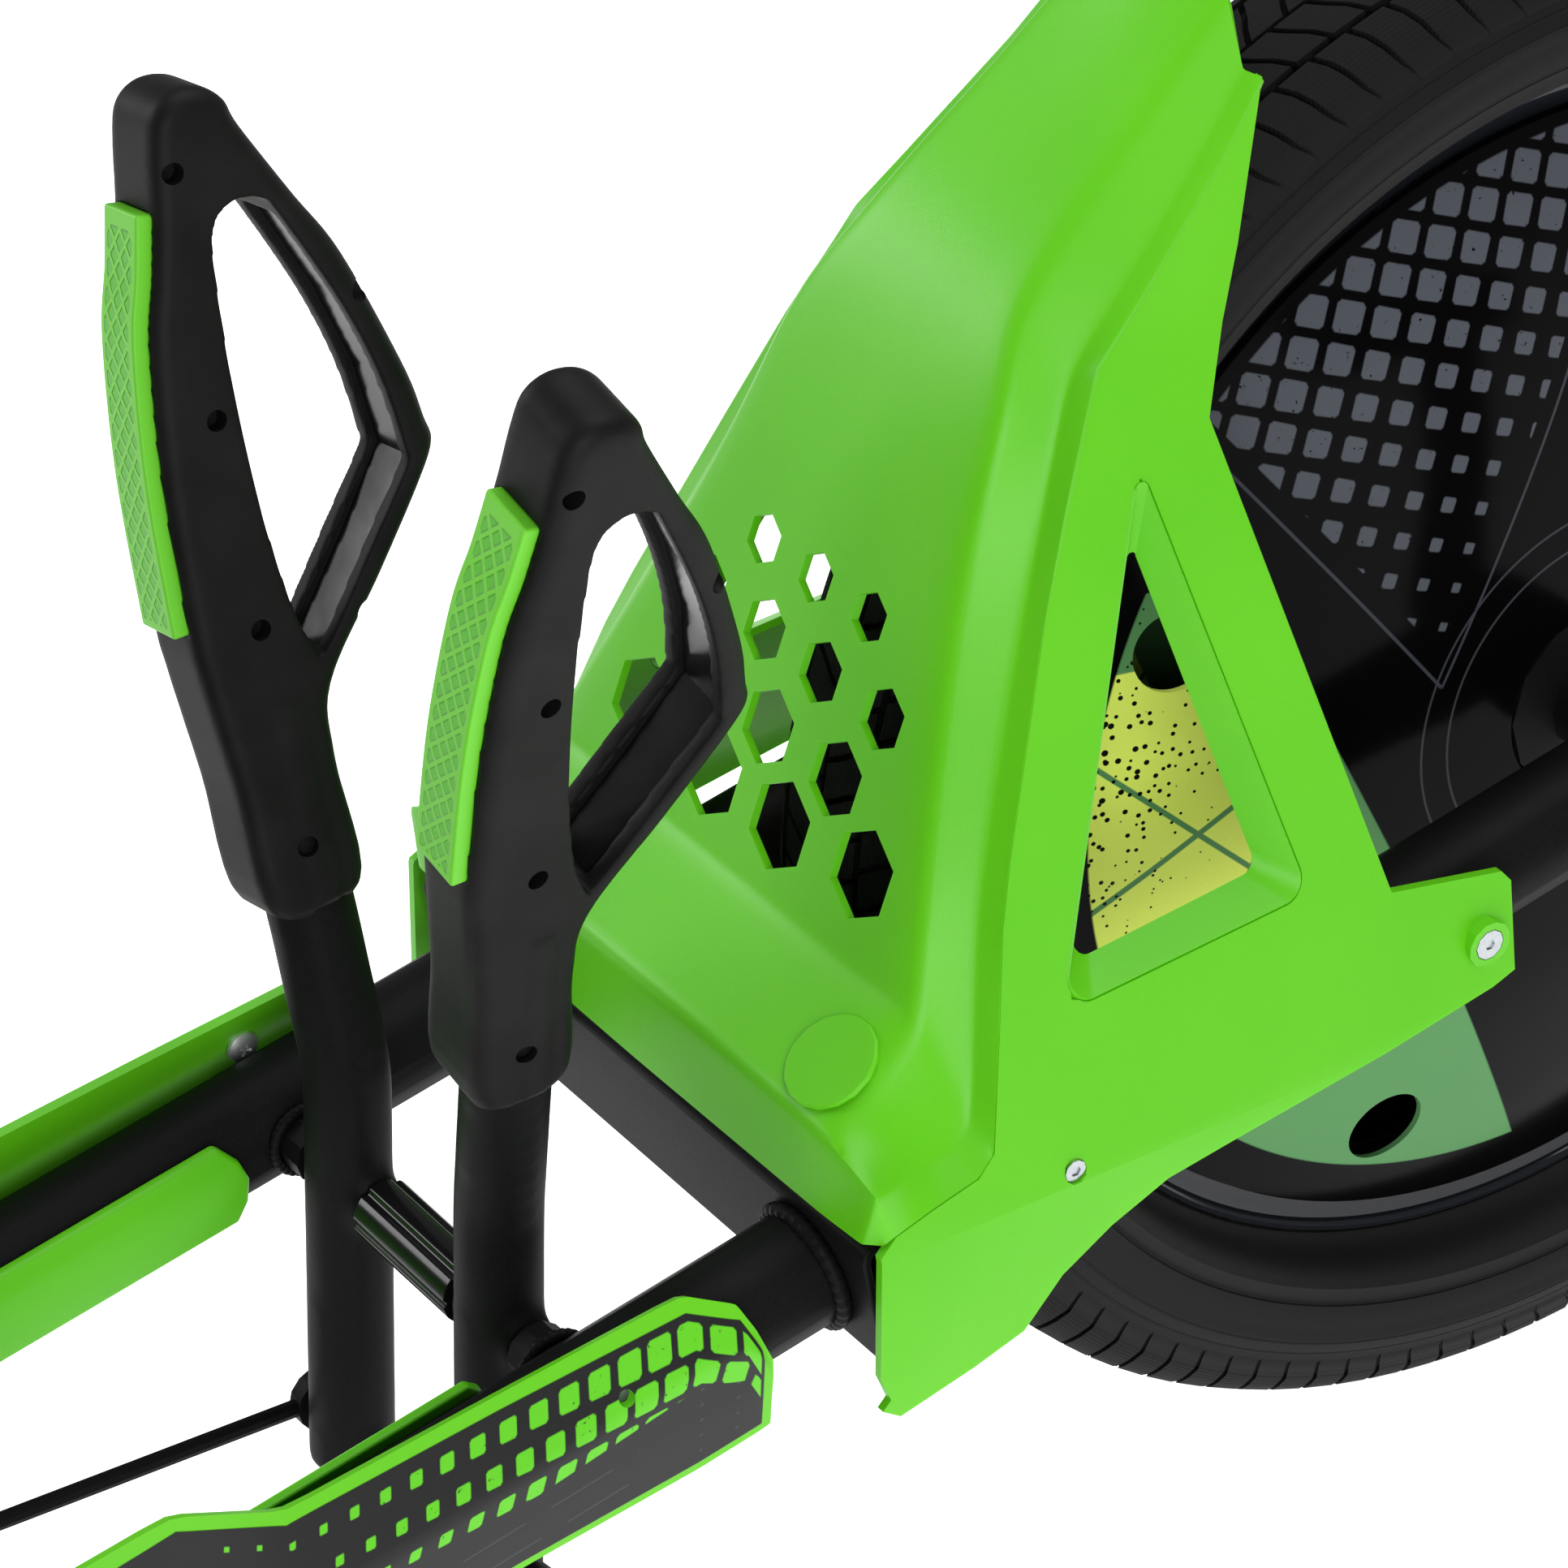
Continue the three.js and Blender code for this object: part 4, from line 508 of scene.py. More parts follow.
# %% Outer rail covers
COVER_REAR, COVER_FRONT, COVER_HALF, COVER_HEIGHT = -742, -371.5, 116.7, 79
RAIL_PITCH, RAIL_HEIGHT, RAIL_BEND = 0.197, 11.6, -640
COVER_WALL, SCREW_SHARE, SCREW_ABOVE, SCREW_HOLE = 3, 0.86, 15, 2.6
cover_sections = [
    (1.0, ((0.982, -0.04), (0.982, -0.12), (0.972, -0.24), (0.965, -0.36))),
    (0.988, ((0.962, 0.12), (0.99, 0.02), (0.982, -0.16), (0.968, -0.36))),
    (0.974, ((0.935, 0.26), (0.992, 0.1), (0.982, -0.15), (0.968, -0.36))),
    (0.929, ((0.9, 0.4), (0.992, 0.13), (0.982, -0.12), (0.968, -0.36))),
    (0.754, ((0.9, 0.46), (0.992, 0.13), (0.982, -0.1), (0.968, -0.31))),
    (0.555, ((0.9, 0.52), (0.992, 0.14), (0.982, -0.08), (0.968, -0.3))),
    (0.455, ((0.9, 0.8), (0.992, 0.18), (0.982, -0.06), (0.968, -0.3))),
    (0.25, ((0.9, 0.8), (0.992, 0.18), (0.982, -0.06), (0.968, -0.3))),
    (0.04, ((0.92, 0.58), (0.992, 0.14), (0.982, -0.06), (0.968, -0.3))),
    (0.0, ((0.94, 0.4), (0.992, 0.12), (0.982, -0.06), (0.968, -0.24))),
]


def cover_x(share):
    return COVER_REAR + share * (COVER_FRONT - COVER_REAR)


def rail_height(x):
    """Height of the rail's centre line, which levels out behind its bend."""
    return RAIL_HEIGHT + RAIL_PITCH * max(x, RAIL_BEND)


for side, name in SIDES:
    rows = []
    for share, spots in cover_sections:
        x = cover_x(share)
        row = [(x, side * half * COVER_HALF, rail_height(x) + up * COVER_HEIGHT)
               for half, up in spots]
        rows.append(row if side > 0 else row[::-1])
    cover = sheet(
        name + "_outer_cover_piece", rows,
        {0: 0.85, 1: 0.7, 2: 0.7, 3: 0.85}, {0: 0.8, 3: 0.5, 5: 0.6, 6: 0.6, 9: 0.9},
        COVER_WALL, 3,
    )
    x = cover_x(SCREW_SHARE)
    z = rail_height(x) + SCREW_ABOVE
    hole = rod("screw_hole", SCREW_HOLE, (x, side * 90, z), (x, side * 130, z), 24)
    cut(cover, placed(hole, Matrix.Translation(FRONT_AXLE)))
    shaded(cover, 40, weighted=False)
    standing_for(cover, name + "_outer_cover", name + "_cover_panel")
print("outer covers ready")

# %% [markdown]
# The grip is a rubber moulding over the lever tube: a thick handle behind, a thin bar in
# front, and a hole for the hand between them. It could be sculpted, but a drawn outline is
# exact: the slab is bevelled round, the hole is cut, the collar is joined on, and a fine
# remesh melts all edges together. A little smoothing then gives the soft look of rubber.

# %% Grip outlines
GRIP_BASE = (-426.2226, 56.6785, 33.8434)
GRIP_TILT = Vector((-0.0576, 0.211, 0.9758)).normalized()
GRIP_HALF = 15.5
grip_outline = [
    (13, 0), (14, 42), (18, 65.5), (41.7, 92.3), (61, 115), (68.5, 126.5), (67.6, 135),
    (64.5, 153), (52, 194), (40.5, 217), (28, 243), (25, 252), (18, 258), (8.5, 259.2),
    (1, 254.5), (-2.5, 244), (-6, 226), (-10.5, 208), (-16.6, 187), (-22.3, 145),
    (-24.6, 97), (-24, 80), (-21, 44), (-17.5, 0),
]
hand_hole = [
    (13.6, 80), (17.2, 77.6), (40.3, 104.1), (56.6, 123), (57.4, 127.5), (54.5, 152), (47, 179),
    (33.5, 212), (29, 219.5), (19, 222), (11, 216), (8, 197), (5.9, 160), (6.4, 125), (9.5, 94),
]
grip_back = [(-6, 226), (-10.5, 208), (-16.6, 187), (-22.3, 145), (-24.6, 97)]
print("grip outline points:", len(grip_outline))

# %% Places on the grip
def on_grip(side):
    """The matrix that takes forward, across and along onto the left or right lever."""
    forward = (Vector((1, 0, 0)) - GRIP_TILT.x * GRIP_TILT).normalized()
    across = GRIP_TILT.cross(forward)
    turn = Matrix((forward, across, GRIP_TILT)).transposed().to_4x4()
    return Matrix.Diagonal((1, side, 1, 1)) @ Matrix.Translation(place(*GRIP_BASE)) @ turn


def offset(points, distance):
    """An open line moved sideways, to its left as it is walked, with its corners kept."""
    normals = []
    for (ax, az), (bx, bz) in zip(points, points[1:]):
        size = math.hypot(bx - ax, bz - az)
        normals.append(Vector((az - bz, bx - ax)) / size)
    moved = []
    for i, (x, z) in enumerate(points):
        before, after = normals[max(i - 1, 0)], normals[min(i, len(normals) - 1)]
        middle = (before + after).normalized()
        reach = distance / middle.dot(after)
        moved.append((x + middle.x * reach, z + middle.y * reach))
    return moved


def band(line, outward, inward):
    """A closed strip on both sides of a line."""
    return offset(line, outward) + offset(line, -inward)[::-1]


back_line = splined(grip_back, 8, closed=False)
loop_line = [(17.2, 77.6), (40.3, 104.1), (57.2, 125), (54.5, 152), (47, 179), (33.5, 212)]
print("insert length mm:", round(math.dist(back_line[0], back_line[-1]), 1))

# %% Grip body
def grip_body(name):
    body = slab(name, splined(grip_outline, 6), -GRIP_HALF, GRIP_HALF)
    bevelled(body, 9, 6, 60)
    cut(body, rod("collar", 16.6, (0, 0, 0), (0, 0, 66), 48), "UNION")
    cut(body, slab("hole", splined(hand_hole, 6), -20, 20))
    cut(body, rod("socket", 14.6, (0, 0, -4), (0, 0, 60), 48))
    cut(body, slab("insert_seat", band(back_line, 9, 4.6), -10.2, 10.2))
    cut(body, slab("loop_channel", band(loop_line, 4, 5.1), -9.2, 9.2))
    modified(body, "REMESH", mode="VOXEL", voxel_size=1.15 * MM)
    modified(body, "SMOOTH", factor=0.5, iterations=5)
    return body


def screw_wells(body):
    """Blind holes for the screws that hold the grip's two halves together."""
    for u, w in ((2, 237), (-2, 160), (-3, 92), (-4, 20), (54, 181), (33.5, 83.5)):
        cut(body, rod("well", 3.4, (u, 9.5, w), (u, 22, w), 20))
        cut(body, rod("well", 3.4, (u, -22, w), (u, -9.5, w), 20))
    return body


for side, name in SIDES:
    body = screw_wells(grip_body(name + "_grip_piece"))
    outwards(placed(body, on_grip(side)))
    shaded(body, 50, weighted=False)
    standing_for(body, name + "_grip")
print("grip faces:", len(body.data.polygons))

# %% [markdown]
# A green insert is pressed into the back of each grip, and a glossy liner lies in the
# channel of its front bar. Both follow the grip's own lines, so they are bands on them.

# %% Inserts and liners
fittings = [
    ("grip_insert", band(back_line, 1.6, 4.4), 10, 1.1, 3),
    ("grip_loop", band(loop_line, -3, 5), 9, 0.5, 2),
]
for side, name in SIDES:
    for part, outline, half, edge, segments in fittings:
        fitting = slab(f"{name}_{part}_piece", outline, -half, half)
        bevelled(fitting, edge, segments, 50)
        outwards(placed(fitting, on_grip(side)))
        shaded(fitting, 35)
        standing_for(fitting, f"{name}_{part}")
print("inserts and liners ready")

# %% [markdown]
# Wheels are turned parts. A closed profile of radius and distance across is drawn as a ring
# of points and spun once round the axle, with far more steps than the frame's solids have,
# so that their edges look round close up.

# %% Turned rings
def lathed(name, profile, steps, centre):
    """A closed profile of (radius, across) in millimetres, spun round an axle in Y."""
    piece = added(name, bpy.ops.mesh.primitive_circle_add, vertices=len(profile), radius=0.1)
    for corner, (radius, across) in zip(piece.data.vertices, profile):
        corner.co = Vector((radius, across, 0)) * MM
    edited(
        piece,
        lambda: bpy.ops.mesh.spin(
            steps=steps, angle=2 * math.pi, center=(0, 0, 0), axis=(0, 1, 0)
        ),
    )
    placed(piece, Matrix.Translation(centre))
    return outwards(piece)


def mirrored_profile(half):
    """The other half of a profile that is the same on both sides."""
    return half + [(radius, -across) for radius, across in half[::-1]]


print("lathe ready")

# %% [markdown]
# A tyre is rubber with a bead, a bulging side wall with raised rings, and a tread.
# The side wall is a spun curve. The tread is one block, copied round the tyre by an
# Array modifier that turns each copy by the same angle, in rows that slant both ways.

# %% Front tyre carcass
tyre_half = splined(
    [(216.4, -16.6), (219.5, -21), (223.3, -32.7), (232, -36.8), (241, -38), (251, -36.6),
     (260.8, -32.8), (266.6, -27.5), (270.4, -20), (271.8, -8)],
    4,
    closed=False,
)


def with_rings(profile):
    """Small raised rings on the side wall, which the mould leaves there."""
    rings, half_width, height = (227.5, 247.5), 1.6, 0.7
    return [
        (radius, across - height * any(abs(radius - ring) < half_width for ring in rings))
        for radius, across in profile
    ]


front_tyre = lathed("front_tyre_piece", mirrored_profile(with_rings(tyre_half)), 160, FRONT_AXLE)
shaded(front_tyre, 30, weighted=False)
print("tyre faces:", len(front_tyre.data.polygons))

# %% Tread blocks
def ring_of(block, count, centre):
    """Copies a block that stands over the origin's axle, all round it."""
    turn = bpy.data.objects.new("turn", None)
    bpy.context.scene.collection.objects.link(turn)
    turn.rotation_euler = (0, 2 * math.pi / count, 0)
    bpy.context.view_layer.update()
    modified(block, "ARRAY", count=count, use_relative_offset=False, use_object_offset=True,
             offset_object=turn)
    bpy.data.objects.remove(turn, do_unlink=True)
    return placed(block, Matrix.Translation(centre))


def tread_block(name, width, line, rise, turn):
    """A bar extruded through places of (radius, across, slant in degrees) over the tyre."""
    def lengthened():
        for _ in line[1:]:
            bpy.ops.mesh.extrude_region_move(TRANSFORM_OT_translate={"value": (0, 0, 1)})

    block = edited(added(name, bpy.ops.mesh.primitive_plane_add, size=1), lengthened)
    for corner in block.data.vertices:
        radius, across, slant = line[round(corner.co.z)]
        out = (radius + (rise[round(corner.co.z)] if corner.co.y > 0 else -TREAD_SINK)) * MM
        angle = math.radians(turn + slant) + math.copysign(0.5, corner.co.x) * width / radius
        corner.co = (out * math.cos(angle), across * MM, out * math.sin(angle))
    return block


TREAD_COUNT, TREAD_SINK = 115, 3
tread_rows = {
    "shoulder": (12.3, [(256.5, -35.2, -0.8), (261.5, -32.8, 0), (265, -29.3, 0.4),
                        (267.9, -25.1, 0.9), (270, -20.4, 1.6)], (1.0, 2.4, 3.8, 4.7, 5.1)),
    "middle": (12.5, [(270.8, -17.8, 2.6), (271.4, -12, 3.2), (271.8, -6, 4.1),
                      (271.9, -0.8, 4.7)], (4.7, 4.9, 5.0, 5.0)),
}
treads = []
for name, (width, line, rise) in tread_rows.items():
    for side, flank, turn in ((1, "right", 0), (-1, "left", 180 / TREAD_COUNT)):
        row = [(radius, side * across, slant) for radius, across, slant in line]
        block = outwards(tread_block(f"{name}_{flank}", width, row, rise, turn))
        treads.append(ring_of(block, TREAD_COUNT, FRONT_AXLE))
bpy.ops.object.select_all(action="DESELECT")
for tread in treads:
    tread.select_set(True)
bpy.context.view_layer.objects.active = treads[0]
bpy.ops.object.join()
treads[0].name = "front_tread_piece"
shaded(treads[0], 30)
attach(treads[0], body_of["front_tyre"])
standing_for(front_tyre, "front_tyre")
print("tread blocks:", len(treads) * TREAD_COUNT)

# %% [markdown]
# The rim is a rolled steel channel with a round bead at each side. The cover is a thin
# dished disc of clear glossy plastic with print behind it, and four round holes.

# %% Rim and wheel covers
rim_half = [(199, -9), (198.4, -10.5), (202, -13.6), (209, -14.4), (211.3, -15.2), (211.9, -17),
            (213.2, -17.9), (214.9, -17.3), (215.3, -15.8), (214.6, -14.6), (213.9, -14.2),
            (213.6, -10)]
rim = lathed("front_rim_piece", mirrored_profile(rim_half[::-1]), 160, FRONT_AXLE)
shaded(rim, 40)
standing_for(rim, "front_rim")

COVER_STEPS, DISC_WALL = 144, 2.2
HOLE_COUNT, HOLE_RADIUS, HOLE_CIRCLE, HOLE_TURN = 4, 14, 170, 2.757
cover_line = splined([(33.6, 45), (60, 43.5), (110.2, 38.7), (160, 29), (190, 21.5), (203.6, 18)],
                     6, closed=False)
cover_profile = cover_line + [(radius, across - DISC_WALL) for radius, across in cover_line[::-1]]
for side, name in SIDES:
    cover = lathed(name + "_wheel_cover_piece", cover_profile, COVER_STEPS, Vector((0, 0, 0)))
    for i in range(HOLE_COUNT):
        angle = HOLE_TURN + i * 2 * math.pi / HOLE_COUNT
        x, z = HOLE_CIRCLE * math.cos(angle), HOLE_CIRCLE * math.sin(angle)
        cut(cover, rod("hole", HOLE_RADIUS, (x, -10, z), (x, 60, z), 40))
    bevelled(cover, 0.5, 2, 50)
    placed(cover, Matrix.Translation(FRONT_AXLE) @ Matrix.Diagonal((1, side, 1, 1)))
    outwards(cover)
    shaded(cover, 30)
    standing_for(cover, name + "_wheel_cover")
print("wheel covers ready")

# %% [markdown]
# The rear wheels of a drift trike are hard, wide and nearly smooth, so that they slide.
# They are turned parts as well: a ring with rounded shoulders and shallow grooves, on a hub.

# %% Rear wheels
REAR_WHEEL = (-850, 300, -161.73)
REAR_HOLES, REAR_HOLE_RADIUS, REAR_HOLE_CIRCLE = 6, 13, 47
rear_ring = [(86.3, -42), (88, -44), (96, -45), (105.2, -45), (110.5, -43.2), (113.3, -39),
             (114.6, -30), (115.1, -21), (113.6, -20), (113.6, -17.5), (115.2, -16.5),
             (115.27, -3), (113.8, -2)]
rear_core = [(6.4, -42), (19, -42), (19, -18), (24, -16), (70, -16), (78, -20), (79.5, -38),
             (81, -40.5), (84.5, -41), (85.9, -39.5), (85.9, -30)]
for side, name in SIDES:
    x, y, z = REAR_WHEEL
    centre = place(x, side * y, z)
    ring = lathed(name + "_rear_tyre_piece", mirrored_profile(rear_ring), 96, centre)
    shaded(ring, 30)
    standing_for(ring, name + "_rear_tyre")
    core = lathed(name + "_rear_hub_piece", mirrored_profile(rear_core), 72, centre)
    for i in range(REAR_HOLES):
        angle = i * 2 * math.pi / REAR_HOLES
        u, w = x + REAR_HOLE_CIRCLE * math.cos(angle), z + REAR_HOLE_CIRCLE * math.sin(angle)
        ends = [place(u, side * y + reach, w) / MM for reach in (-30, 30)]
        cut(core, rod("hole", REAR_HOLE_RADIUS, *ends, 28))
    bevelled(core, 0.8, 2, 40)
    shaded(core, 35)
    standing_for(core, name + "_rear_hub")
print("rear wheels ready")

# %% [markdown]
# The seat is a blown plastic bucket. A copy of the frame's thin shell is subdivided, which
# turns its coarse sections into a smooth bowl, after its rim has been given a small edge.

# %% Seat bucket
seat = edited(
    copied("seat_shell"),
    lambda: bpy.ops.mesh.remove_doubles(threshold=0.00001),
    lambda: bpy.ops.mesh.tris_convert_to_quads(),
)
bevelled(seat, 1.2, 1, 55)
modified(seat, "SUBSURF", levels=2, render_levels=2)
shaded(seat, 40, weighted=False)
standing_for(seat, "seat_shell")
print("seat faces:", len(seat.data.polygons))

# %% [markdown]
# Small fittings hold the trike together. The lever tubes are flattened and round at their
# edges, so a remesh and some smoothing melt the copy's corners away. The spacer is a fluted
# sleeve, tubes meet in rippled weld beads, and screws have a cross recess. Each of those is
# a turned or cut shape.

# %% Rounded lever tubes
for node in both("lever_tube"):
    tube = modified(copied(node), "REMESH", mode="VOXEL", voxel_size=1.7 * MM)
    modified(tube, "SMOOTH", factor=0.5, iterations=22)
    shaded(tube, 180, weighted=False)
    standing_for(tube, node)
print("lever tube faces:", len(tube.data.polygons))

# %% Fluted spacer between the levers
spacer_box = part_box("pivot_spacer")
spacer_length = (spacer_box[1][1] - spacer_box[0][1]) / MM
spacer_middle = (Vector(spacer_box[0]) + Vector(spacer_box[1])) / 2
FLUTE_STEPS, FLUTE_EVERY, SPACER_RADIUS, FLUTE_DEPTH = 60, 10, 10.9, 1.3
flutes = []
for i in range(FLUTE_STEPS):
    angle = 2 * math.pi * i / FLUTE_STEPS
    radius = SPACER_RADIUS - (FLUTE_DEPTH if i % FLUTE_EVERY in (0, 1) else 0.0)
    flutes.append((radius * math.cos(angle), radius * math.sin(angle)))
spacer = slab("pivot_spacer_piece", flutes, -spacer_length / 2, spacer_length / 2)
cut(spacer, rod("bore", 6.6, (0, -60, 0), (0, 60, 0), 24))
bevelled(spacer, 0.5, 2, 25)
placed(spacer, Matrix.Translation(spacer_middle))
outwards(spacer)
shaded(spacer, 30)
standing_for(spacer, "pivot_spacer")
print("spacer length mm:", round(spacer_length, 1))

# %% Cover screws
SCREW_FACE = 109.4
screw_head = [(0.01, 0), (3.2, 0), (5.2, 0.6), (5.6, 1.4), (5.2, 2.3), (3.6, 3.0), (1.6, 3.3),
              (0.01, 3.35)]
screw_slot = [(-2.6, -0.5), (2.6, -0.5), (2.6, 0.5), (-2.6, 0.5)]
x = cover_x(SCREW_SHARE)
z = rail_height(x) + SCREW_ABOVE
for side, name in SIDES:
    screw = lathed(name + "_inner_cover_screw", screw_head, 28, Vector((0, 0, 0)))
    for turn in (0, math.pi / 2):
        slot = slab("slot", screw_slot, 1.9, 5)
        cut(screw, placed(slot, Matrix.Rotation(turn + 0.4, 4, "Y")))
    placed(screw, Matrix.Translation(place(x, side * SCREW_FACE, z))
           @ Matrix.Diagonal((1, -side, 1, 1)))
    outwards(screw)
    shaded(screw, 35)
    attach(screw, "frame")
print("cover screws ready")

# %% Weld beads
def weld(name, centre, axis, radius, thickness):
    """A ring of overlapping ripples, as a welder's passes leave them."""
    ripples, ripple_height = 16, 0.22
    turn = axis.to_track_quat("Z", "Y").to_matrix().to_4x4()
    bead = added(
        name, bpy.ops.mesh.primitive_torus_add, major_radius=radius * MM,
        minor_radius=thickness * MM, major_segments=132, minor_segments=10,
    )
    for corner in bead.data.vertices:
        flat = Vector((corner.co.x, corner.co.y, 0))
        ripple = 1 + ripple_height * abs(math.sin(math.atan2(flat.y, flat.x) * ripples))
        centre_line = flat.normalized() * radius * MM
        corner.co = centre_line + (corner.co - centre_line) * ripple
    placed(bead, Matrix.Translation(centre) @ turn)
    shaded(bead, 60, weighted=False)
    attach(bead, "frame")
    return bead


RAIL_OFFSET, RAIL_JOINT = 91, 19.4
rail_slope = Vector((1, 0, RAIL_PITCH)).normalized()
weld_rings = [
    ("rail", (-343.5, RAIL_OFFSET, RAIL_HEIGHT - RAIL_PITCH * 343.5), rail_slope, RAIL_JOINT, 2.4),
    ("fork", (-299, RAIL_OFFSET, 7.4 - RAIL_PITCH * 299), rail_slope, RAIL_JOINT, 2.2),
    ("boss", (-422.6, 72, -71.65), Vector((0, 1, 0)), 11.5, 1.6),
]
beads = [
    weld(f"{name}_{joint}_weld", place(x, side * y, z), axis, radius, thickness)
    for side, name in SIDES
    for joint, (x, y, z), axis, radius, thickness in weld_rings
]
print("weld beads:", len(beads))

# %% [markdown]
# Materials are shader nodes. Patterns are easier to read as arithmetic, so a small class
# wraps a socket: adding or comparing two values adds the Math node that does it.

# %% Values with arithmetic
class Value:
    """A shader socket that takes part in plain arithmetic."""

    tree = None

    def __init__(self, socket):
        self.socket = socket

    @staticmethod
    def node(kind, inputs=None, output=0, **settings):
        """Adds a node: its settings first, then the values or links of its sockets."""
        made = Value.tree.nodes.new("ShaderNode" + kind)
        for name, setting in settings.items():
            setattr(made, name, setting)
        for key, value in (inputs or {}).items():
            plug(value, made.inputs[key])
        return Value(made.outputs[output])

    @staticmethod
    def maths(operation, *values, **settings):
        return Value.node("Math", dict(enumerate(values)), operation=operation, **settings)

    def __add__(self, other):
        return Value.maths("ADD", self, other)

    __radd__ = __add__

    def __sub__(self, other):
        return Value.maths("SUBTRACT", self, other)

    def __rsub__(self, other):
        return Value.maths("SUBTRACT", other, self)

    def __mul__(self, other):
        return Value.maths("MULTIPLY", self, other)

    __rmul__ = __mul__

    def __truediv__(self, other):
        return Value.maths("DIVIDE", self, other)

    def __neg__(self):
        return Value.maths("MULTIPLY", self, -1.0)

    def __abs__(self):
        return Value.maths("ABSOLUTE", self)

    def whole(self):
        return Value.maths("FLOOR", self)

    def part(self):
        return Value.maths("FRACT", self)

    def root(self):
        return Value.maths("SQRT", self)

    def lesser(self, other):
        return Value.maths("MINIMUM", self, other)

    def greater(self, other):
        return Value.maths("MAXIMUM", self, other)

    def clamped(self):
        return Value.maths("ADD", self, 0.0, use_clamp=True)

    def step(self, edge, soft):
        """0 below an edge and 1 above it, with a soft change between."""
        return ((self - edge) / soft + 0.5).clamped()


def plug(value, socket):
    if isinstance(value, Value):
        Value.tree.links.new(value.socket, socket)
    elif isinstance(value, tuple) and socket.type == "RGBA":
        socket.default_value = (*value, 1.0)
    else:
        socket.default_value = value


print("shader values ready")

# %% Pattern helpers
def split(output):
    """The three parts of one of the surface's own vectors."""
    source = Value.node("TexCoord", output=output)
    parts = Value.node("SeparateXYZ", {0: source}).socket.node
    return [Value(socket) for socket in parts.outputs]


def coordinates(scale=1000.0):
    """The piece's place in millimetres from the front axle."""
    return [(part - middle) * scale for part, middle in zip(split("Object"), FRONT_AXLE)]


def facing_across():
    """How far the surface faces left or right, away from the middle of the trike."""
    return split("Normal")[1]


def spread(spot, scale):
    """A place as a vector, scaled alike or by one number for each of its parts."""
    scales = scale if isinstance(scale, tuple) else (scale, scale, scale)
    parts = [part * share for part, share in zip(spot, scales)]
    return Value.node("CombineXYZ", dict(enumerate(parts)))


def noise(spot, scale, detail=2.0, rough=0.5):
    return Value.node("TexNoise", {"Vector": spread(spot, scale), "Scale": 1.0,
                                   "Detail": detail, "Roughness": rough})


def cells(spot, scale):
    return Value.node("TexVoronoi", {"Vector": spread(spot, scale), "Scale": 1.0}, feature="F1")


def stripe(value, half, soft):
    """1 where a value is nearer to zero than a distance."""
    return 1 - (abs(value) - half).step(0.0, soft)


def blend(share, first, second):
    return Value.node("Mix", {0: share, 6: first, 7: second}, output=2, data_type="RGBA")


def bump(height, distance):
    """A relief of so many millimetres."""
    return Value.node("Bump", {"Height": height, "Distance": distance * MM, "Strength": 1.0})


def finish(name, build):
    """A material whose principled shader is filled in by a function."""
    material = bpy.data.materials.new(name)
    material.use_nodes = True
    Value.tree = material.node_tree
    shader = Value.tree.nodes["Principled BSDF"]
    for key, value in build().items():
        plug(value, shader.inputs[key])
    return material


def painted(material, *nodes):
    """Gives a finish to the piece that stands for a part, or to the part itself."""
    for node in nodes:
        piece = bpy.data.objects.get(node + "_piece") or bpy.data.objects[node]
        piece.data.materials.clear()
        piece.data.materials.append(material)


print("pattern helpers ready")

# %% [markdown]
# The green parts are moulded polyethylene: saturated, a little waxy, with a fine satin
# grain. Light enters the plastic and comes out greener, so it gets some subsurface, and a
# faint large-scale variation keeps wide panels from looking painted.

# %% Green plastic
GREEN = (0.120, 0.54, 0.008)
GREEN_DEEP = (0.098, 0.50, 0.005)


def green_plastic():
    spot = coordinates()
    cloud = noise(spot, 0.012)
    grain = noise(spot, 1.9, 3.0)
    scuff = noise(spot, (0.15, 0.15, 0.9), 4.0, 0.7).step(0.66, 0.08)
    return {
        "Base Color": blend(cloud.step(0.5, 0.5), GREEN_DEEP, GREEN),
        "Roughness": 0.34 + grain * 0.1 + scuff * 0.08,
        "Specular IOR Level": 0.30,
        "Subsurface Weight": 0.12,
        "Subsurface Radius": (0.3, 1.0, 0.1),
        "Subsurface Scale": 0.006,
        "Normal": bump(grain, 0.03),
    }


painted(
    finish("green_plastic", green_plastic),
    "centre_cowl", *both("cowl_cap"), *both("side_panel"), *both("inner_cover"),
)
print("green plastic on the mouldings")

# %% [markdown]
# The frame is powder coated: black with a soft sheen and a very fine orange peel.
# Bare small parts are zinc plated, and the glossy parts are a polished dark plastic.

# %% Black and metal finishes
def powder_black():
    spot = coordinates()
    peel = noise(spot, 1.1, 2.0)
    return {
        "Base Color": blend(peel.step(0.5, 0.6), (0.0050, 0.0050, 0.0054),
                            (0.0085, 0.0085, 0.009)),
        "Roughness": 0.44 + peel * 0.1,
        "Specular IOR Level": 0.06,
        "Normal": bump(peel, 0.06),
    }


def gloss_black():
    spot = coordinates()
    wave = noise(spot, 0.08, 2.0)
    return {
        "Base Color": blend(wave, (0.004, 0.004, 0.0045), (0.007, 0.007, 0.008)),
        "Roughness": 0.13 + wave * 0.08,
        "Specular IOR Level": 0.25,
        "Normal": bump(wave, 0.05),
    }


def rim_black():
    spot = coordinates()
    fleck = noise(spot, 2.4, 2.0)
    return {
        "Base Color": blend(fleck, (0.008, 0.009, 0.012), (0.014, 0.015, 0.019)),
        "Roughness": 0.07 + fleck * 0.05,
        "Specular IOR Level": 0.3,
    }


def zinc():
    spot = coordinates()
    streak = noise(spot, 0.6, 4.0)
    return {
        "Base Color": blend(streak, (0.36, 0.40, 0.43), (0.55, 0.57, 0.58)),
        "Roughness": 0.2 + streak * 0.16,
        "Metallic": 1.0,
        "Normal": bump(streak, 0.02),
    }


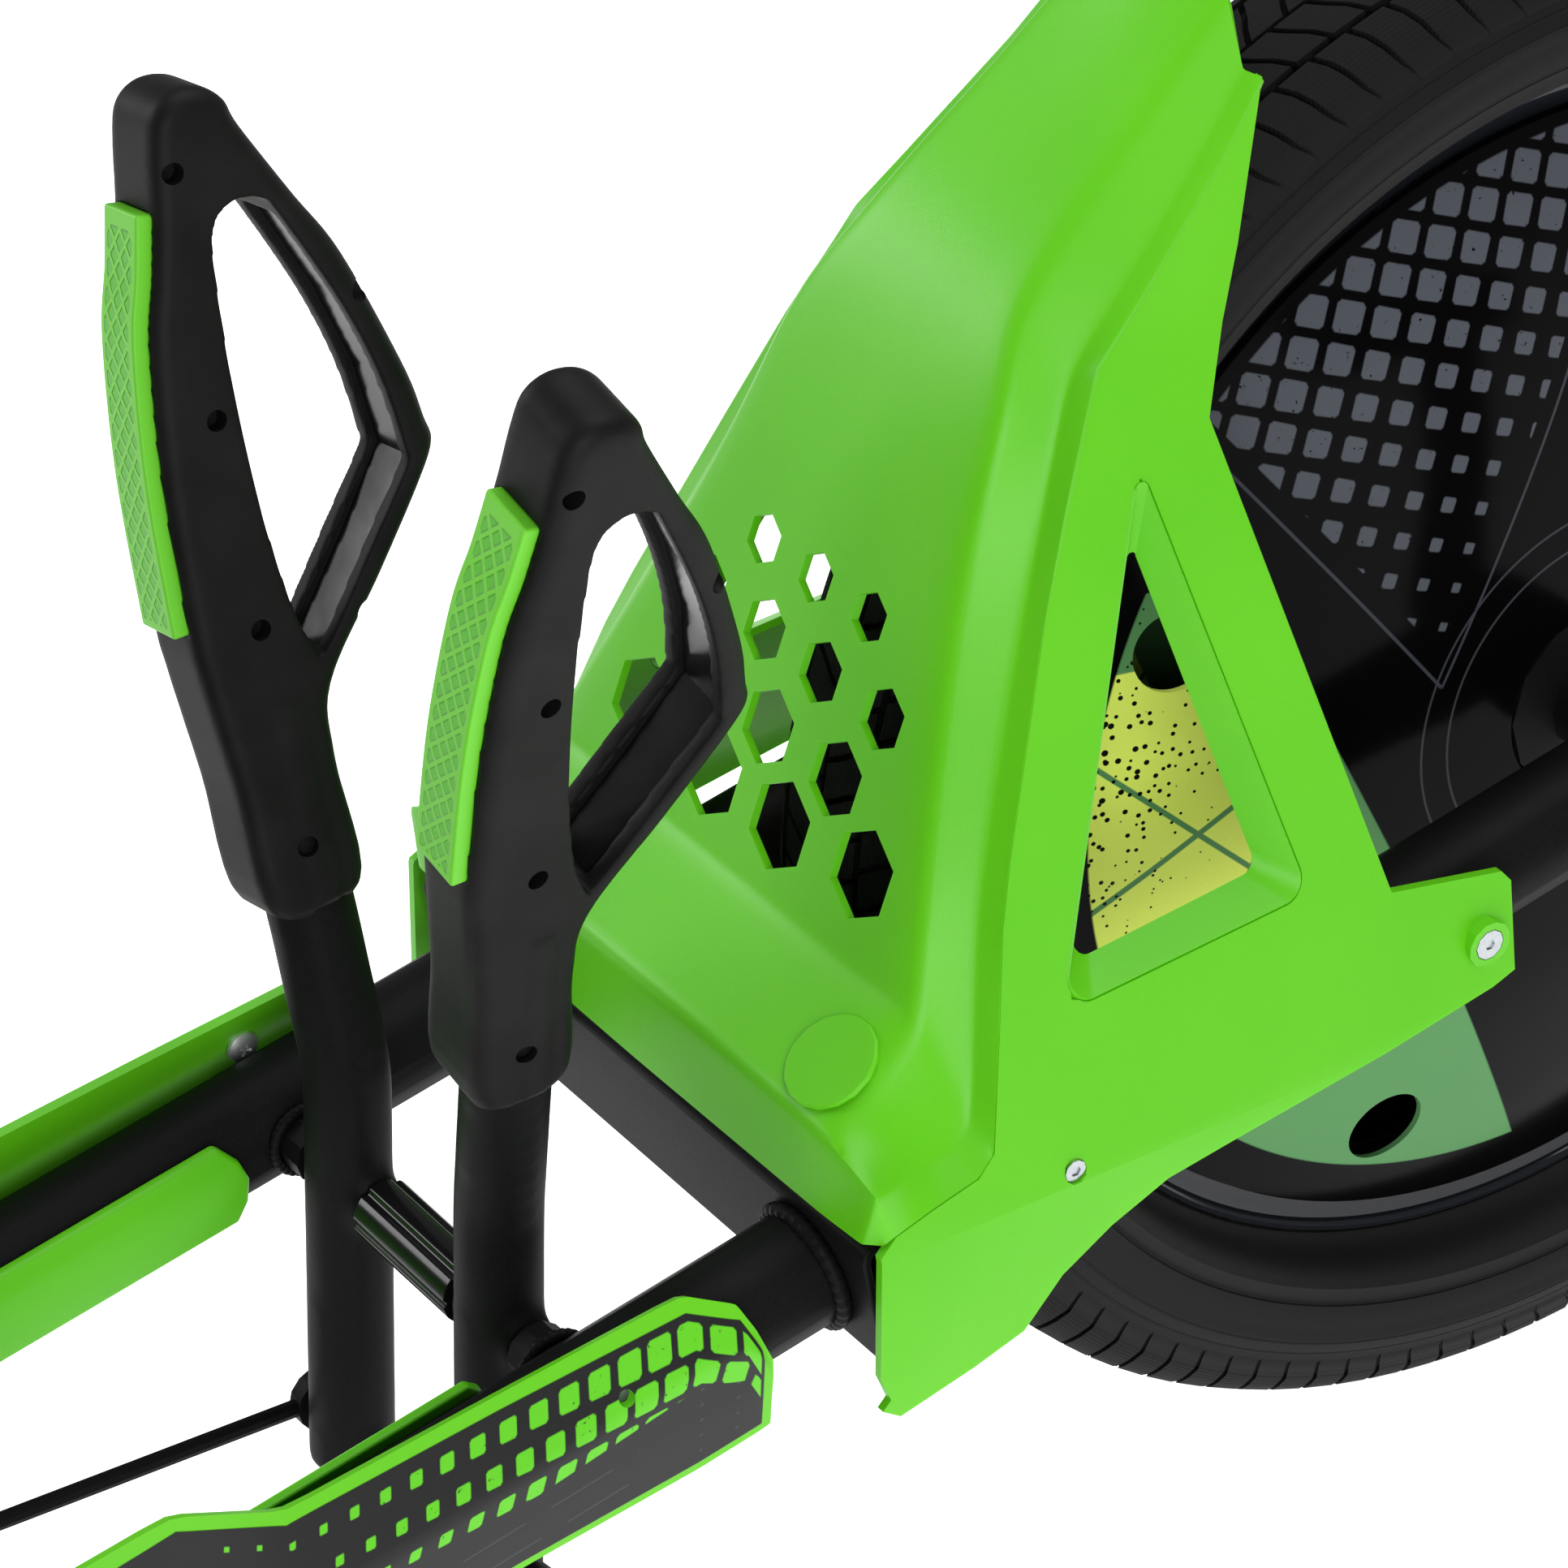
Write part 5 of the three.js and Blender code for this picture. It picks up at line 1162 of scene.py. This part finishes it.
painted(
    finish("powder_black", powder_black),
    "cross_box", "mount_plate", "truck_plate", "axle_tube", "seat_track", "seat_slider",
    "front_hub", *both("rail"), *both("fork_tube"), *both("axle_housing"), *both("lever_tube"),
    *both("crank"), *both("rear_hub"), *both("steering_rod"),
)
painted(finish("gloss_black", gloss_black), "pivot_spacer")
painted(finish("rim_black", rim_black), "front_rim")
painted(
    finish("zinc", zinc),
    "pivot_axle", "spindle", "kingpin", "rear_axle", *both("axle_bearing"),
    *both("side_screw"), *both("arm_screw"),
)
for name in both("inner_cover_screw"):
    bpy.data.objects[name].data.materials.append(bpy.data.materials["zinc"])
painted(finish("weld_black", powder_black), *(bead.name for bead in beads))
print("black and metal finishes on")

# %% [markdown]
# The grips are a matt rubber with a dusty fine grain, and the bar's liner is polished.

# %% Rubber and liner
def grip_rubber():
    spot = coordinates()
    grain = noise(spot, 3.2, 3.0)
    dust = noise(spot, 0.05, 3.0)
    return {
        "Base Color": blend(dust.step(0.5, 0.4), (0.0045, 0.0043, 0.0045),
                            (0.0085, 0.0081, 0.0085)),
        "Roughness": 0.46 + grain * 0.14,
        "Specular IOR Level": 0.12,
        "Normal": bump(grain, 0.05),
    }


painted(finish("grip_rubber", grip_rubber), "seat_knob", *both("grip"), *both("pedal"))
painted(finish("liner_gloss", gloss_black), *both("grip_loop"))
print("rubber on")

# %% [markdown]
# The insert of a grip is the same green with a net of small diamonds for the palm.
# Two slanting rows of lines, one for each way, cross in the grip's own side view.

# %% Diamond net on the inserts
def grip_axes(x, y, z):
    """Distances along and across a grip's lean, in millimetres."""
    along = z * GRIP_TILT.z + abs(y) * GRIP_TILT.y + x * GRIP_TILT.x
    across = abs(y) * GRIP_TILT.z - z * GRIP_TILT.y
    base = Vector(GRIP_BASE)
    return along - base.dot(GRIP_TILT), across - base.y * GRIP_TILT.z + base.z * GRIP_TILT.y


def green_net():
    x, y, z = spot = coordinates()
    along, across = grip_axes(x, y, z)
    wide, tall = 6.4, 8.2
    bare = abs(across).step(7.2, 0.4).greater(abs(along - 161).step(60.5, 0.6))
    first = abs((across / wide + along / tall).part() - 0.5) * 2
    second = abs((across / wide - along / tall).part() - 0.5) * 2
    # Ridges and the bare rim keep the lighter green; the diamond hollows get a darker green as
    # painted shade.
    ridge_and_hollow_shade = first.greater(second).step(0.66, 0.2).greater(bare)
    grain = noise(spot, 1.9, 3.0)
    return {
        "Base Color": blend(ridge_and_hollow_shade, (0.075, 0.46, 0.006), (0.135, 0.57, 0.02)),
        "Roughness": 0.42 + grain * 0.1,
        "Specular IOR Level": 0.42,
        "Normal": bump(ridge_and_hollow_shade, 0.8),
    }


painted(finish("green_net", green_net), *both("grip_insert"))
print("diamond net on the inserts")

# %% [markdown]
# Tyre rubber is nearly black, matt on the tread and a little smoother on the side wall,
# where the mould leaves fine rings. Distance from the axle tells the two apart.

# %% Tyre rubber
def tyre_rubber(centre_x=0.0, centre_z=0.0, tread_from=262.0):
    x, y, z = spot = coordinates()
    out = ((x - centre_x) * (x - centre_x) + (z - centre_z) * (z - centre_z)).root()
    grain = noise(spot, 2.2, 3.0)
    tread = out.step(tread_from, 4.0)
    ribs = abs((y * 0.75 + out * 0.2).part() - 0.5) * tread
    seam = tread_from - 31.0
    smooth_band = 1 - out.step(seam, 1.2)
    # The groove and the two fine rings are painted near-black: painted shade in the groove and
    # along the rings.
    groove_with_shade = stripe(out - seam - 1.4, 0.7, 0.6)
    fine_rings_with_shade = stripe(abs(out - seam - 19.0) - 2.4, 0.5, 0.5)
    wall = blend(smooth_band, (0.0048, 0.0048, 0.0050), (0.0130, 0.0126, 0.0124))
    dusty = blend(grain * 0.5, wall, (0.015, 0.015, 0.015))
    return {
        "Base Color": blend(groove_with_shade.greater(fine_rings_with_shade * 0.7), dusty, (0.0025, 0.0025, 0.0025)),
        "Roughness": 0.52 + tread * 0.16 + grain * 0.08,
        "Specular IOR Level": 0.11,
        "Normal": bump(grain * 0.4 + ribs * 1.2 + fine_rings_with_shade - groove_with_shade * 2, 0.3),
    }


painted(finish("tyre_rubber", tyre_rubber), "front_tyre", "front_tread")
painted(
    finish("slick_rubber", lambda: tyre_rubber(REAR_WHEEL[0], REAR_WHEEL[2], 105.0)),
    *both("rear_tyre"),
)
print("tyre rubber on")

# %% Seat plastic
def seat_plastic():
    spot = coordinates()
    pebble = cells(spot, 0.9)
    return {
        "Base Color": blend(pebble.clamped(), (0.010, 0.010, 0.011), (0.018, 0.018, 0.019)),
        "Roughness": 0.5 + pebble * 0.1,
        "Normal": bump(pebble, 0.12),
    }


painted(finish("seat_plastic", seat_plastic), "seat_shell")
print("seat plastic on")

# %% [markdown]
# The rail covers carry a printed panel. Its print is generic: rows of rounded squares that
# shrink towards the rear, a few grey rules and ink specks, in the trike's green and grey.

# %% Rounded squares that shrink
def squares(u, v, pitch, fill, shift=0.5):
    """Rounded squares on a staggered grid, whose share of the pitch is fill."""
    row = (v / pitch).whole()
    across = (u / pitch + row * shift).part() - 0.5
    up = (v / pitch).part() - 0.5
    wide, tall = abs(across), abs(up)
    corner = (wide + tall) * 0.57
    size = wide.greater(tall).greater(corner)
    return (fill * 0.5 - size).step(0.0, 0.04)


def polyline(value, points):
    """A value's height on a line of straight stretches."""
    height = points[0][1]
    for (a, low), (b, high) in zip(points, points[1:]):
        height = ((value - a) / (b - a)).clamped() * (high - low) + height
    return height


COVER_TOP = [(-742, 31), (-727, 45), (-649, 62.5), (-573, 62.5), (-537, 41.5), (-463, 36.5),
             (-398, 31), (-381, 20), (-376, 9), (-371.5, -3)]
COVER_LOW = [(-742, -18), (-727, -23), (-537, -23.7), (-463, -24.5), (-398, -28.4)]


def cover_print():
    x, y, z = spot = coordinates()
    level = x.greater(-640.0) * RAIL_PITCH + RAIL_HEIGHT
    up = z - level
    inside = (polyline(x, COVER_TOP) - 4.2 - up).lesser(up - 2.6 - polyline(x, COVER_LOW))
    inside = inside.lesser(-(x + 375.0)).lesser(x + 738.0)
    outer_face = (facing_across() * y).step(8.0, 2.0)
    printed = inside.step(0.0, 0.4) * abs(y).step(102.6, 0.2) * outer_face
    speck = noise(spot, 0.5, 4.0, 0.7)
    below = polyline(x, COVER_TOP) - up - 5.4
    fill = ((x + 545) / 130).clamped() * 0.62 + 0.16
    dots = squares(x + below * 0.25, below, 10.6, fill) * below.step(0.0, 0.3)
    dots = dots * (x + 560).step(0.0, 1.0) * (1 - (below - 21.4 + (x + 398) * 0.14).step(0.0, 0.5))
    dots = dots * inside.step(1.2, 0.4)
    worn = dots * (1 - speck.step(0.66, 0.03))
    rules = stripe(abs(up + 12) - 5.0, 0.35, 0.3)
    bars = rules * ((x + up * 0.6) / 31).part().step(0.3, 0.02) * (1 - (x + 420).step(0.0, 2.0))
    rung = abs(x + 391)
    ladder = stripe((up / 6.0).part() - 0.5, 0.08, 0.04) * (rung - 6).step(0.0, 0.4)
    ladder = ladder * (1 - (rung - 7.2).step(0.0, 0.4))
    grey = bars.greater(ladder * (1 - (up - 4).step(0.0, 1.0)))
    grain = noise(spot, 1.9, 3.0)
    ink = blend(grey * 0.6, (0.009, 0.009, 0.0095), (0.050, 0.052, 0.060))
    ink = blend(worn, ink, (0.115, 0.56, 0.012))
    return {
        "Base Color": blend(printed, GREEN, ink),
        "Roughness": 0.36 + grain * 0.1,
        "Specular IOR Level": 0.3,
        "Subsurface Weight": 0.05,
        "Subsurface Radius": (0.3, 1.0, 0.1),
        "Subsurface Scale": 0.004,
        "Normal": bump(printed, 0.12),
    }


painted(finish("cover_print", cover_print), *both("outer_cover"))
print("cover print on")

# %% [markdown]
# The wheel covers are clear plastic printed from behind: a near-black ground, a wedge of
# grey rounded squares that shrink towards the hub, fine grey rules round the hub, and a
# yellow-green segment with a dark green edge, spoke lines and ink specks.

# %% Wheel cover print
def wheel_print():
    x, y, z = spot = coordinates()
    out = (x * x + z * z).root()
    speck = noise(spot, 0.42, 3.0, 0.75)
    # wedge of squares
    left = (z - 36 + (x + 62) * 1.3).step(0.0, 0.8)
    right = (z - 36 - (x + 62) * 1.9).step(0.0, 0.8)
    turned_u = x * 0.93 - z * 0.37
    turned_v = x * 0.37 + z * 0.93
    fill = ((out - 62) / 120).clamped() * 0.62 + 0.14
    field = squares(turned_u, turned_v, 13.6, fill, 0.0) * left * right * (1 - out.step(199, 0.8))
    field = field * (1 - speck.step(0.67, 0.02))
    # grey rules along the wedge and round the hub
    above = (z - 24).step(0.0, 1.0)
    rule = stripe(z - 24 + (x + 62) * 1.3, 0.9, 0.5) * above
    rule = rule.greater(stripe(z - 24 - (x + 62) * 1.9, 1.1, 0.5) * above)
    rings = stripe(abs(out - 64) - 5, 0.4, 0.4)
    rule = rule.greater(rings) * (1 - out.step(200, 1.0))
    # yellow-green segment
    edge = (x + 109) * 0.899 + (z - 29) * 0.437
    inside = (1 - edge.step(0.0, 0.7)) * (1 - out.step(187, 0.7)) * (1 - (z - 86).step(0.0, 0.7))
    border = (edge + 20).step(0.0, 0.7).greater(out.step(196, 0.7)).greater((z - 60).step(0.0, 0.7))
    lines = stripe(z + 5 + (x + 150) * -0.62, 1.3, 0.5)
    lines = lines.greater(stripe(z + 5 + (x + 150) * 0.95, 1.3, 0.5))
    low = 1 - (z + 72 - (x + 110) * 0.5).step(0.0, 1.0)
    inner = blend(border.greater(lines).greater(low), (0.80, 0.95, 0.15), (0.10, 0.27, 0.10))
    blot = cells(spot, (0.30, 0.05, 0.30))
    spots = (0.42 - blot - (x + 195 + abs(z - 30) * 0.6) * 0.0045).step(0.0, 0.03)
    ground = blend((field * 0.9).greater(rule * 0.5), (0.0018, 0.0018, 0.0021),
                   (0.085, 0.092, 0.11))
    segment = blend(spots, inner, (0.006, 0.007, 0.006))
    return {
        "Base Color": blend(inside, ground, segment),
        "Roughness": 0.12 + speck * 0.05,
        "Specular IOR Level": 0.045,
    }


painted(finish("wheel_print", wheel_print), *both("wheel_cover"))
print("wheel print on")

# %% [markdown]
# The picture was taken close up with a long lens, on white, in soft light from all sides.
# The camera stands where the photograph's vanishing lines put it. The floor shines a little,
# so that it stays white behind the trike.

# %% Camera
CAMERA_RIGHT = Vector((0.82440372, -0.5659375, -0.00855879))
CAMERA_DOWN = Vector((-0.31463706, -0.44565865, -0.83808823))
CAMERA_AHEAD = Vector((0.47049126, 0.69361597, -0.54546756))
camera_data = bpy.data.cameras.new("photo_camera")
camera_data.lens = 168.1
camera_data.sensor_width = 36.0
camera = bpy.data.objects.new("photo_camera", camera_data)
bpy.context.scene.collection.objects.link(camera)
facing = Matrix((CAMERA_RIGHT, -CAMERA_DOWN, -CAMERA_AHEAD)).transposed().to_4x4()
camera.matrix_world = Matrix.Translation(place(-1348.9, -1564.29, 1279.46)) @ facing
bpy.context.scene.camera = camera
bpy.context.scene.view_settings.view_transform = "Standard"
print("camera at", tuple(round(v, 2) for v in camera.location))

# %% Floor and light
floor = added("floor", bpy.ops.mesh.primitive_plane_add, size=40)


def white_floor():
    x, y, z = spot = coordinates(1.0)
    out = (x * x + y * y).root()
    cloud = noise(spot, 1.0)
    return {
        "Base Color": blend(cloud, (0.80, 0.80, 0.80), (0.82, 0.82, 0.82)),
        "Roughness": 0.9,
        "Emission Color": blend(out.step(3.0, 2.2), (0.88, 0.88, 0.88), (0.12, 0.12, 0.12)),
        "Emission Strength": 1.0,
    }


floor.data.materials.append(finish("white_floor", white_floor))


def soft_light(name, where, aim, size, power):
    data = bpy.data.lights.new(name, "AREA")
    data.shape = "RECTANGLE"
    data.size, data.size_y = size
    data.energy = power
    light = bpy.data.objects.new(name, data)
    bpy.context.scene.collection.objects.link(light)
    light.location = where
    light.rotation_euler = (Vector(aim) - Vector(where)).to_track_quat("-Z", "Y").to_euler()
    return light


lights = [
    soft_light("top_light", (0.6, 0.0, 2.3), (0, 0, 0.3), (1.8, 1.4), 30),
    soft_light("left_light", (-1.6, 2.4, 1.4), (0, 0, 0.5), (1.6, 1.1), 44),
    soft_light("near_light", (-1.1, -2.5, 1.2), (0, 0, 0.3), (1.6, 1.4), 44),
]
world = bpy.data.worlds.new("studio")
bpy.context.scene.world = world
world.use_nodes = True
world.node_tree.nodes["Background"].inputs[0].default_value = (1, 1, 1, 1)
world.node_tree.nodes["Background"].inputs[1].default_value = 0.25
print("lights:", len(lights))

# %% [markdown] End


print("trike dressed")
